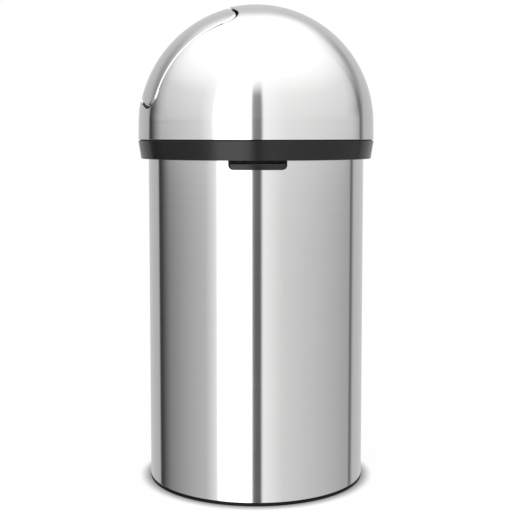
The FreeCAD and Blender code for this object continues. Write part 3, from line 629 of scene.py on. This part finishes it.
@dataclass
class Body(SubAssembly):
    """The steel wall, the base under it and the rim on it."""

    # The wall
    shell: Span = Span.of("body_shell")
    wall: float = 0.0008
    flange: float = 0.010
    wall_edge: float = 0.0003
    # The base
    foot: Span = Span.of("base_plate")
    plate_radius: float = 0.172
    plate_low: float = 0.0025
    plate_top: float = 0.0055
    groove_inner: float = 0.1759
    groove_outer: float = 0.1821
    groove_top: float = 0.003
    spigot_radius: float = 0.1749
    spigot_wall: float = 0.0025
    foot_edge: float = 0.0006
    # The rim
    cap: Span = Span.of("body_rim")
    cap_inner: float = 0.178
    cap_fit: float = 0.0001
    leg_wall: float = 0.002
    skin_low: float = 0.56
    cap_edge: float = 0.0005
    # Steps in a full turn
    steps: int = 256

    def build(self) -> None:
        """Makes the wall, the base and the rim."""
        self.build_wall()
        self.build_base()
        self.build_rim()

    def build_wall(self) -> None:
        """Turns the rolled wall with its flange."""
        outer, low, top = self.shell.radius, self.shell.low, self.shell.top
        inner, lip = outer - self.wall, outer - self.flange
        wall = turn_outline("steel_wall", [
            (lip, low), (outer, low), (outer, top), (inner, top),
            (inner, low + self.wall), (lip, low + self.wall),
        ], self.steps)
        soften(wall, self.wall_edge)
        self.seat(wall, "body", "body_shell", STEEL, "brushed_steel_sheet")

    def build_base(self) -> None:
        """Turns the base with its foot, its groove and its spigot."""
        low, outer = self.foot.low, self.foot.radius
        spigot_inner = self.spigot_radius - self.spigot_wall
        base = turn_outline("base_foot", [
            (0.0, self.plate_low), (self.plate_radius, self.plate_low), (self.plate_radius, low),
            (self.groove_inner, low), (self.groove_inner, self.groove_top),
            (self.groove_outer, self.groove_top), (self.groove_outer, low),
            (outer, low), (outer, self.shell.low), (self.spigot_radius, self.shell.low),
            (self.spigot_radius, self.foot.top), (spigot_inner, self.foot.top),
            (spigot_inner, self.plate_top), (0.0, self.plate_top),
        ], self.steps)
        soften(base, self.foot_edge)
        # The base strip takes the darker matt black: its own black plastic, drawn darker as painted shade
        # from under the bin
        self.seat(base, "body", "base_plate", MATT_PAINTED_SHADE, "black_plastic")

    def build_rim(self) -> None:
        """Turns the plastic rim on the wall's top edge."""
        seat = self.shell.top + self.cap_fit
        leg_outer = self.shell.radius - self.wall - self.cap_fit
        leg_inner = leg_outer - self.leg_wall
        skin_inner = self.shell.radius + self.cap_fit
        rim = turn_outline("body_rim_cap", [
            (self.cap_inner, seat), (leg_inner, seat), (leg_inner, self.cap.low), (leg_outer, self.cap.low),
            (leg_outer, seat), (skin_inner, seat), (skin_inner, self.skin_low),
            (self.cap.radius, self.skin_low), (self.cap.radius, self.cap.top),
            (self.cap_inner, self.cap.top),
        ], self.steps)
        soften(rim, self.cap_edge)
        self.seat(rim, "body", "body_rim", INNER, "inner_plastic")


@dataclass
class Bucket(SubAssembly):
    """The lift-out bucket and its wire bail."""

    # The bucket
    tub: Span = Span.of("inner_bucket")
    top_radius: float = 0.1765
    base_radius: float = 0.163
    lip_low: float = 0.576
    wall: float = 0.002
    corner: float = 0.003
    tub_edge: float = 0.0008
    steps: int = 192
    # The ears that hold the bail, and its rest
    ear_radius: float = 0.008
    ear_inner: float = 0.1669
    ear_outer: float = 0.1755
    rest_low: Point = (0.154, -0.009, 0.5507)
    rest_high: Point = (0.1745, 0.009, 0.5567)
    part_edge: float = 0.001
    # The bail
    bail_radius: float = 0.16
    bail_height: float = pivot_of("bail_swing").z
    wire: float = 0.0025
    wire_points: int = 24
    bow_rows: int = 96
    pin_end: float = 0.173
    pin_edge: float = 0.0006
    # The grip
    grip_half_angle: float = 11.0
    grip_core: float = 0.0027
    grip_wall: float = 0.0029
    grip_ribs: int = 11
    rib_height: float = 0.0004
    grip_rows: int = 66
    grip_taper: float = 12.0

    def build(self) -> None:
        """Makes the bucket, the bail and its grip."""
        self.build_bucket()
        self.build_bail()
        self.build_grip()

    def build_bucket(self) -> None:
        """Turns the bucket and adds the bail's ears and rest."""
        low, lip, top = self.tub.low, self.tub.radius, self.tub.top
        floor, inner = low + self.wall, self.base_radius - self.wall
        tub = turn_outline("bucket_tub", [
            (0.0, low), (self.base_radius - self.corner, low), (self.base_radius, low + self.corner),
            (self.top_radius, self.lip_low), (lip, self.lip_low), (lip, top),
            (self.top_radius - self.wall, top), (inner, floor + self.corner),
            (inner - self.corner, floor), (0.0, floor),
        ], self.steps)
        soften(tub, self.tub_edge)
        ears = [
            peg(f"bail_ear_{side}", self.ear_radius, (0, side * self.ear_inner, self.bail_height),
                (0, side * self.ear_outer, self.bail_height), self.part_edge)
            for side in (-1, 1)
        ]
        rest = bar("bail_rest", self.rest_low, self.rest_high, self.part_edge)
        weld([tub] + ears + [rest])
        self.seat(tub, "body", "inner_bucket", BUCKET, "bucket_plastic")

    def wire_ring(self, angle: float, radius: float) -> list[Point]:
        """Lists the points of a ring of wire about the bail's bow.

        Args:
            angle: Where on the bow, in radians from +X.
            radius: The ring's radius.

        Returns:
            The ring's points.
        """
        ring = []
        for index in range(self.wire_points):
            turn = 2 * math.pi * index / self.wire_points
            reach = self.bail_radius + radius * math.cos(turn)
            ring.append((reach * math.cos(angle), reach * math.sin(angle),
                         self.bail_height + radius * math.sin(turn)))
        return ring

    def build_bail(self) -> None:
        """Sweeps the bail's wire and adds its two pins."""
        angles = [-math.pi / 2 + math.pi * row / self.bow_rows for row in range(self.bow_rows + 1)]
        bow = loft_rings("bail_bow", [self.wire_ring(angle, self.wire) for angle in angles], True)
        smooth(bow)
        pins = [
            peg(f"bail_pin_{side}", self.wire, (0, side * self.bail_radius, self.bail_height),
                (0, side * self.pin_end, self.bail_height), self.pin_edge)
            for side in (-1, 1)
        ]
        weld([bow] + pins)
        self.seat(bow, "bail", "bucket_bail", ZINC, "bright_steel")

    def build_grip(self) -> None:
        """Sweeps the ribbed grip on the bail, with rounded ends."""
        half = math.radians(self.grip_half_angle)
        rings = []
        for row in range(self.grip_rows + 1):
            share = row / self.grip_rows
            rib = self.rib_height * math.cos(share * 2 * math.pi * self.grip_ribs)
            end = min(1.0, min(share, 1 - share) * self.grip_taper)
            radius = self.grip_core + (self.grip_wall + rib) * math.sqrt(end)
            rings.append(self.wire_ring(-half + 2 * half * share, radius))
        grip = loft_rings("bail_hand_grip", rings, True)
        smooth(grip)
        self.seat(grip, "bail", "bail_grip", INNER, "inner_plastic")


@dataclass
class Lid(SubAssembly):
    """The plastic ring and the steel dome on it."""

    # The ring
    band: Span = Span.of("lid_ring")
    band_low_inner: float = 0.1959
    band_low_outer: float = 0.1979
    band_top_inner: float = 0.2002
    band_nick: float = 0.0005
    land: float = 0.5858
    land_nick: float = 0.0006
    step_radius: float = 0.1995
    deck_radius: float = 0.181
    deck_low: float = 0.5834
    band_edge: float = 0.0006
    band_steps: int = 256
    # The dome, its skirt and its hem
    shell: Span = Span.of("dome_shell")
    wall: float = 0.0008
    flare: float = 0.0005
    flare_start: float = 0.06
    drops: tuple[float, ...] = (0.2, 0.4, 0.6, 0.8, 0.97)
    hem: float = 0.010
    hem_bend: float = 0.0004
    hem_rows: int = 4
    # The flap's opening
    elevation: float = 43.9
    half_height: float = 0.110
    half_width: float = 0.112
    corner: float = 0.036
    edge: float = 0.0013
    edge_hold: float = 0.0025
    turn_in: float = 0.0044
    points: int = 256
    rows: int = 60
    first_row: float = 0.012

    @property
    def radius(self) -> float:
        """The dome's outer radius."""
        return self.shell.radius

    @property
    def centre(self) -> float:
        """The height of the dome's centre."""
        return self.shell.top - self.shell.radius

    @property
    def skirt(self) -> float:
        """The height of the straight skirt under the dome's centre."""
        return self.centre - self.shell.low

    def build(self) -> None:
        """Makes the ring and the dome."""
        self.build_ring()
        self.build_dome()

    def build_ring(self) -> None:
        """Turns the tapered ring with its deck, and gives the groove under the dome the darker matt black
        as painted shade.
        """
        low, outer, top = self.band.low, self.band.radius, self.band.top
        ring = turn_outline("lid_ring_skirt", [
            (self.band_low_inner, low), (self.band_low_outer - self.band_nick, low),
            (self.band_low_outer, low + self.band_nick), (outer, self.land - self.land_nick),
            (outer - self.land_nick, self.land), (self.step_radius, self.land),
            (self.step_radius, top), (self.deck_radius, top),
            (self.deck_radius, self.deck_low), (self.band_top_inner, self.deck_low),
        ], self.band_steps)
        soften(ring, self.band_edge)
        self.seat(ring, "lid", "lid_ring", BLACK, "black_plastic")
        # The groove faces between the ring and the dome take the darker matt black: painted shade in the
        # gap
        above, within = self.land - self.band_nick, outer - self.wall
        groove = [face for face in ring.data.polygons
                  if face.center.z > above and face.center.xy.length < within]
        self.wardrobe.dress_faces(ring, MATT_PAINTED_SHADE, groove)

    def along_slope(self, up: float, across: float, out: float) -> Vector:
        """Gives a point from the flap's own directions, about the dome's centre.

        Args:
            up: Distance up the slope.
            across: Distance across it.
            out: Distance out of the dome.

        Returns:
            The point about the dome's centre.
        """
        tilt = math.radians(self.elevation)
        return Vector((up * math.sin(tilt) - out * math.cos(tilt), across,
                       up * math.cos(tilt) + out * math.sin(tilt)))

    def opening_ring(self, grow: float, radius: float) -> list[Vector]:
        """Lists the opening's edge on a sphere about the dome's centre.

        Args:
            grow: How much larger the opening is taken.
            radius: The sphere's radius.

        Returns:
            The edge's points about the dome's centre.
        """
        square = rounded_square(self.half_height + grow, self.half_width + grow,
                                self.corner + grow, self.points)
        return [
            self.along_slope(up, across, math.sqrt(radius ** 2 - up ** 2 - across ** 2))
            for up, across in square
        ]

    def flat(self, spot: Vector) -> Vector:
        """Maps a point of the dome's upper half onto a flat disc of radius 1."""
        return Vector((spot.x, spot.y)) / (self.radius + spot.z)

    def dome_spot(self, disc: Vector) -> Vector:
        """Maps a point of the disc back onto the dome."""
        square = disc.length_squared
        return Vector((2 * disc.x, 2 * disc.y, 1 - square)) * (self.radius / (1 + square))

    def spokes(self) -> list[tuple[Vector, Vector]]:
        """Lists straight lines on the disc, from the opening's edge away from its middle to the rim.

        Returns:
            The two ends of each line.
        """
        middle = self.flat(self.along_slope(0, 0, self.radius))
        lines = []
        for spot in self.opening_ring(self.edge, self.radius):
            start = self.flat(spot)
            way = start - middle
            half = way.dot(middle) / way.length_squared
            reach = -half + math.sqrt(half ** 2 - (middle.length_squared - 1) / way.length_squared)
            lines.append((start, middle + way * reach))
        return lines

    def skirt_rings(self, rim: Sequence[Vector]) -> list[list[Vector]]:
        """Lists the rings of the skirt, its bend and its hem.

        Args:
            rim: The dome's widest ring.

        Returns:
            The rings from the rim down and in to the hem's edge.
        """
        shapes = []
        for drop in self.drops:
            share = self.flare_start + (1 - self.flare_start) * drop
            shapes.append((self.flare * share, self.skirt * drop))
        for row in range(self.hem_rows + 1):
            turn = math.pi / 2 * row / self.hem_rows
            shapes.append((self.flare - self.hem_bend * (1 - math.cos(turn)),
                           self.skirt - self.hem_bend * (1 - math.sin(turn))))
        shapes.append((-self.hem, self.skirt))
        rings = []
        for grow, low in shapes:
            scale = 1 + grow / self.radius
            rings.append([Vector((spot.x * scale, spot.y * scale, -low)) for spot in rim])
        return rings

    def build_dome(self) -> None:
        """Lofts the dome from the opening's turned-in edge out to its rim and down to the hem."""
        rings = [self.opening_ring(0.0, self.radius - depth) for depth in (self.turn_in, self.edge_hold)]
        for turn in EDGE_TURNS:
            rings.append(self.opening_ring(self.edge * (1 - math.cos(turn)),
                                           self.radius - self.edge * (1 - math.sin(turn))))
        spokes = self.spokes()
        for share in [self.first_row] + [row / self.rows for row in range(1, self.rows + 1)]:
            rings.append([self.dome_spot(start.lerp(end, share)) for start, end in spokes])
        rings += self.skirt_rings(rings[-1])
        lift = Vector((0, 0, self.centre))
        dome = loft_rings("steel_dome", [[tuple(spot + lift) for spot in ring] for ring in rings], False)
        face_away_from(dome, lift)
        thicken(dome, self.wall)
        smooth(dome)
        self.seat(dome, "lid", "dome_shell", STEEL, "brushed_steel_sheet")


@dataclass
class Flap(SubAssembly):
    """The push flap's steel face."""

    lid: Lid
    gap: float = 0.0045
    face_radius: float = 0.210
    sink: float = 0.0108
    turn_in: float = 0.0035
    edge: float = 0.0013
    edge_hold: float = 0.0022
    wall: float = 0.0008
    rows: int = 40
    first_row: float = 0.01

    def face_ring(self, inset: float, share: float, drop: float) -> list[Point]:
        """Lists one ring of the flap's face.

        Args:
            inset: How far inside the flap's edge.
            share: How much of the ring's size is kept towards the middle.
            drop: How deep under the face.

        Returns:
            The ring's points.
        """
        shrink = self.gap + inset
        square = rounded_square(self.lid.half_height - shrink, self.lid.half_width - shrink,
                                self.lid.corner - shrink, self.lid.points)
        lift = Vector((0, 0, self.lid.centre))
        ring = []
        for up, across in square:
            up, across = up * share, across * share
            out = math.sqrt(self.face_radius ** 2 - up ** 2 - across ** 2) - self.sink - drop
            ring.append(tuple(self.lid.along_slope(up, across, out) + lift))
        return ring

    def build(self) -> None:
        """Lofts the face from its turned-in edge to its middle."""
        rings = [self.face_ring(0.0, 1.0, depth) for depth in (self.turn_in, self.edge_hold)]
        for turn in EDGE_TURNS:
            rings.append(self.face_ring(self.edge * (1 - math.cos(turn)), 1.0,
                                        self.edge * (1 - math.sin(turn))))
        for share in [self.first_row] + [row / self.rows for row in range(1, self.rows + 1)]:
            rings.append(self.face_ring(self.edge, 1 - share, 0.0))
        face = loft_rings("flap_face", rings, False)
        face_away_from(face, Vector((0, 0, self.lid.centre)))
        thicken(face, self.wall)
        smooth(face)
        self.seat(face, "flap", "flap_skin", STEEL, "brushed_steel_sheet")


@dataclass
class Latch(SubAssembly):
    """The finger lip under the ring."""

    # The lip
    half_width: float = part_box("latch_lever")[1].x
    low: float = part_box("latch_lever")[0].z
    outer: float = -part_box("latch_lever")[0].y
    inner: float = 0.1908
    top: float = 0.550
    corner: float = 0.0050
    edge: float = 0.0014
    edge_share: float = 0.98
    section_points: int = 48
    rows: int = 64
    end_gap: float = 0.00001
    smooth_angle: float = 50.0
    # The arm, the hub and the nose
    pivot: Point = tuple(pivot_of("latch_pull"))
    arm_low: Point = (-0.018, -0.1923, 0.5484)
    arm_high: Point = (0.018, -0.1905, 0.5615)
    hub_radius: float = 0.0023
    hub_half: float = 0.022
    nose_low: Point = (-0.008, -0.1924, 0.5455)
    nose_high: Point = (0.008, -0.1874, 0.5485)
    part_edge: float = 0.0004

    def section(self, across: float) -> list[Point]:
        """Lists the lip's section at a distance across it, as a rounded block bent round the body.

        Args:
            across: Distance from the middle.

        Returns:
            The section's points.
        """
        past = max(0.0, abs(across) - (self.half_width - self.corner))
        low = self.low + self.corner - math.sqrt(max(0.0, self.corner ** 2 - past ** 2))
        depth, height = (self.outer - self.inner) / 2, (self.top - low) / 2
        edge = min(self.edge, depth * self.edge_share, height * self.edge_share)
        reach, level = (self.outer + self.inner) / 2, (self.top + low) / 2
        return [
            (across, -math.sqrt((reach + out) ** 2 - across ** 2), level + up)
            for out, up in rounded_square(depth, height, edge, self.section_points)
        ]

    def build(self) -> None:
        """Lofts the lip and adds the arm, the hub and the nose that it carries."""
        reach = self.half_width - self.end_gap
        spots = [-math.cos(math.pi * row / self.rows) * reach for row in range(self.rows + 1)]
        lip = loft_rings("latch_lip", [self.section(across) for across in spots], True)
        smooth(lip, self.smooth_angle)
        arm = bar("latch_arm", self.arm_low, self.arm_high, self.part_edge)
        _, back, height = self.pivot
        hub = peg("latch_hub", self.hub_radius, (-self.hub_half, back, height),
                  (self.hub_half, back, height), self.part_edge)
        nose = bar("latch_nose", self.nose_low, self.nose_high, self.part_edge)
        self.wardrobe.dress(lip, BLACK)
        # The arm, the hub and the nose inside the recess take the darker matt black: painted shade in the
        # recess
        for part in (arm, hub, nose):
            self.wardrobe.dress(part, MATT_PAINTED_SHADE)
        weld([lip, arm, hub, nose])
        self.seat(lip, "lever", "latch_lever", None, "black_plastic")


# Studio

@dataclass(frozen=True)
class Panel:
    """A stretch of the studio's wall: from one angle to another, as seen from the bin, 0 at the camera."""

    start: float
    end: float
    level: float
    end_level: float


STUDIO_WALL = (
    Panel(-180.0, -127.0, 0.70, 0.50),
    Panel(-125.5, -119.5, 0.04, 0.06),
    Panel(-104.0, -76.0, 0.26, 0.44),
    Panel(-55.0, -42.2, 0.57, 0.95),
    Panel(-41.0, -5.0, 2.0, 2.0),
    Panel(5.0, 28.0, 1.06, 0.77),
    Panel(46.0, 117.0, 0.70, 0.43),
    Panel(118.6, 120.2, 0.09, 0.12),
    Panel(127.0, 180.0, 0.56, 0.70),
)

# How much of the overhead soft box shows at a height above the horizon, in degrees
OVERHEAD_SHARE = (
    (-5.0, 0.0), (-1.6, 0.04), (1.0, 0.30), (5.0, 0.37), (24.0, 0.48), (35.0, 0.74), (50.0, 1.0),
)

# The dark stand that carries the camera: how much it hides round the bin and upwards, in degrees
STAND_WIDTH = ((-5.2, 0.0), (-4.2, 1.0), (4.4, 1.0), (5.8, 0.0))
STAND_HEIGHT = ((-1.0, 0.91), (3.0, 0.79), (26.0, 0.78), (33.0, 0.35), (41.0, 0.0))

# The soft box ends behind the bin at a slanting plane and fades across it
BOX_EDGE = Vector((0.332, -0.736, 0.590))
BOX_FADE = (-0.12, 0.20)

# The soft box's frame shows as a dark band along that plane, away from the middle and above the horizon
FRAME_BAND = ((-0.16, 0.0), (-0.05, 0.34), (0.01, 0.47), (0.08, 0.38), (0.20, 0.16), (0.36, 0.0))
BAND_SPAN = (-0.5, 0.5)
BAND_ASIDE = (0.30, 0.62)
BAND_HEIGHT = (0.02, 0.15)

# A full turn round the bin, and straight down to straight up, in degrees
FULL_TURN = (-180.0, 180.0)
FULL_RISE = (-90.0, 90.0)


@dataclass
class Studio:
    """The floor, the light and the camera."""

    # The camera
    distance: float = 1.8743
    height: float = 0.5941
    pitch: float = 4.759
    side_angle: float = 0.84
    lens: float = 75.81
    sensor: float = 36.0
    rise: float = -0.06
    # The light
    gain: float = 2.0
    overhead: float = 1.35
    lamp_size: float = 2.0
    lamp_power: float = 8.0
    lamp_place: Point = (-0.3, -0.8, 3.2)
    lamp_tilt: float = 14.0
    # The floor and the contact shadow on it
    floor_size: float = 12.0
    floor_tone: float = 0.9
    floor_glow: float = 0.93
    shadow_reach: float = 0.021
    shadow_depth: float = 2.0
    shadow_samples: int = 16

    def build(self) -> None:
        """Sets the camera, the world, the lamp and the floor."""
        bpy.context.scene.view_settings.view_transform = "Standard"
        self.build_camera()
        self.build_world()
        self.build_lamp()
        self.build_floor()

    def build_camera(self) -> None:
        """Places the camera at the photograph's angle."""
        turn = math.radians(self.side_angle)
        camera = bpy.data.objects.new("camera", bpy.data.cameras.new("camera"))
        camera.data.lens = self.lens
        camera.data.sensor_width = self.sensor
        camera.data.shift_y = self.rise
        camera.location = (-self.distance * math.sin(turn), -self.distance * math.cos(turn), self.height)
        camera.rotation_euler = (math.radians(90 - self.pitch), 0, -turn)
        bpy.context.scene.collection.objects.link(camera)
        bpy.context.scene.camera = camera

    def studio_light(self, board: Patchboard, way: Sequence[Socket]) -> Socket:
        """Works out how bright the studio is in one direction.

        Args:
            board: The world's patchboard.
            way: The direction's share along each axis.

        Returns:
            The brightness, divided by the gain.
        """
        side, back, height = way
        aside = board.calculate("ABSOLUTE", side)
        front = board.calculate("MULTIPLY", back, -1.0)
        turn = board.ease(board.calculate("ARCTAN2", side, front), (-math.pi, math.pi), False)
        rise = board.ease(board.calculate("ARCSINE", height), (-math.pi / 2, math.pi / 2), False)
        edges = [(angle, level / self.gain) for panel in STUDIO_WALL
                 for angle, level in ((panel.start, panel.level), (panel.end, panel.end_level))]
        wall = board.ramp(turn, FULL_TURN, edges)
        past_edge = board.calculate("MULTIPLY", aside, BOX_EDGE.x)
        for value, factor in ((back, BOX_EDGE.y), (height, BOX_EDGE.z)):
            past_edge = board.calculate("MULTIPLY_ADD", value, factor, past_edge)
        box = board.calculate("MULTIPLY", board.ramp(rise, FULL_RISE, OVERHEAD_SHARE),
                              board.ease(past_edge, BOX_FADE))
        brighter = board.calculate("SUBTRACT", self.overhead / self.gain, wall)
        lit = board.calculate("MULTIPLY_ADD", box, brighter, wall)
        stand = board.calculate("MULTIPLY", board.ramp(turn, FULL_TURN, STAND_WIDTH),
                                board.ramp(rise, FULL_RISE, STAND_HEIGHT))
        reach = board.calculate("MULTIPLY", board.ease(aside, BAND_ASIDE), board.ease(height, BAND_HEIGHT))
        along_band = board.ease(past_edge, BAND_SPAN, False)
        band = board.calculate("MULTIPLY", reach, board.ramp(along_band, BAND_SPAN, FRAME_BAND))
        for shade in (stand, band):
            lit = board.calculate("MULTIPLY", lit, board.calculate("SUBTRACT", 1.0, shade))
        return lit

    def build_world(self) -> None:
        """Draws the studio's soft boxes round the bin and keeps the background white for the camera."""
        world = bpy.data.worlds.new("studio")
        bpy.context.scene.world = world
        world.use_nodes = True
        world.node_tree.nodes.clear()
        board = Patchboard(world.node_tree)
        where = board.add("ShaderNodeTexCoord").outputs["Generated"]
        way = board.add("ShaderNodeSeparateXYZ", {"Vector": where}).outputs
        level = board.calculate("MULTIPLY", self.studio_light(board, way), self.gain)
        light = board.add("ShaderNodeBackground", {"Color": WHITE, "Strength": level})
        white = board.add("ShaderNodeBackground", {"Color": WHITE})
        pick = board.add("ShaderNodeMixShader", {
            "Fac": board.add("ShaderNodeLightPath").outputs["Is Camera Ray"],
            1: light.outputs["Background"],
            2: white.outputs["Background"],
        })
        board.add("ShaderNodeOutputWorld", {"Surface": pick.outputs["Shader"]})

    def build_lamp(self) -> None:
        """Hangs one wide soft lamp over the bin."""
        lamp = bpy.data.objects.new("overhead", bpy.data.lights.new("overhead", "AREA"))
        lamp.data.shape = "DISK"
        lamp.data.size = self.lamp_size
        lamp.data.energy = self.lamp_power
        lamp.location = self.lamp_place
        lamp.rotation_euler = (math.radians(self.lamp_tilt), 0, 0)
        lamp.visible_glossy = False
        bpy.context.scene.collection.objects.link(lamp)

    def build_floor(self) -> None:
        """Lays a white floor that keeps the bin's contact shadow."""
        put_down_all()
        bpy.ops.mesh.primitive_plane_add(size=self.floor_size)
        floor = name_piece("studio_floor")
        floor.visible_glossy = False
        material = bpy.data.materials.new("studio_floor")
        material.use_nodes = True
        material.node_tree.nodes.clear()
        board = Patchboard(material.node_tree)
        near = board.add("ShaderNodeAmbientOcclusion", {"Distance": self.shadow_reach})
        near.samples = self.shadow_samples
        matte = board.add("ShaderNodeBsdfDiffuse", {"Color": [self.floor_tone] * 3 + [1.0]})
        shadow = board.calculate("POWER", near.outputs["AO"], self.shadow_depth)
        glow = board.add("ShaderNodeEmission", {"Strength": shadow})
        seen = board.add("ShaderNodeLightPath").outputs["Is Camera Ray"]
        pick = board.add("ShaderNodeMixShader", {
            "Fac": board.calculate("MULTIPLY", seen, self.floor_glow),
            1: matte.outputs["BSDF"],
            2: glow.outputs["Emission"],
        })
        board.add("ShaderNodeOutputMaterial", {"Surface": pick.outputs["Shader"]})
        floor.data.materials.append(material)


def main() -> None:
    """Builds the studio and every sub-assembly in order."""
    logging.basicConfig(level=logging.INFO)
    Studio().build()
    wardrobe = Wardrobe()
    wardrobe.dress_nodes()
    Body(wardrobe).build()
    Bucket(wardrobe).build()
    lid = Lid(wardrobe)
    lid.build()
    Flap(wardrobe, lid).build()
    Latch(wardrobe).build()


if __name__ == "__main__":
    main()
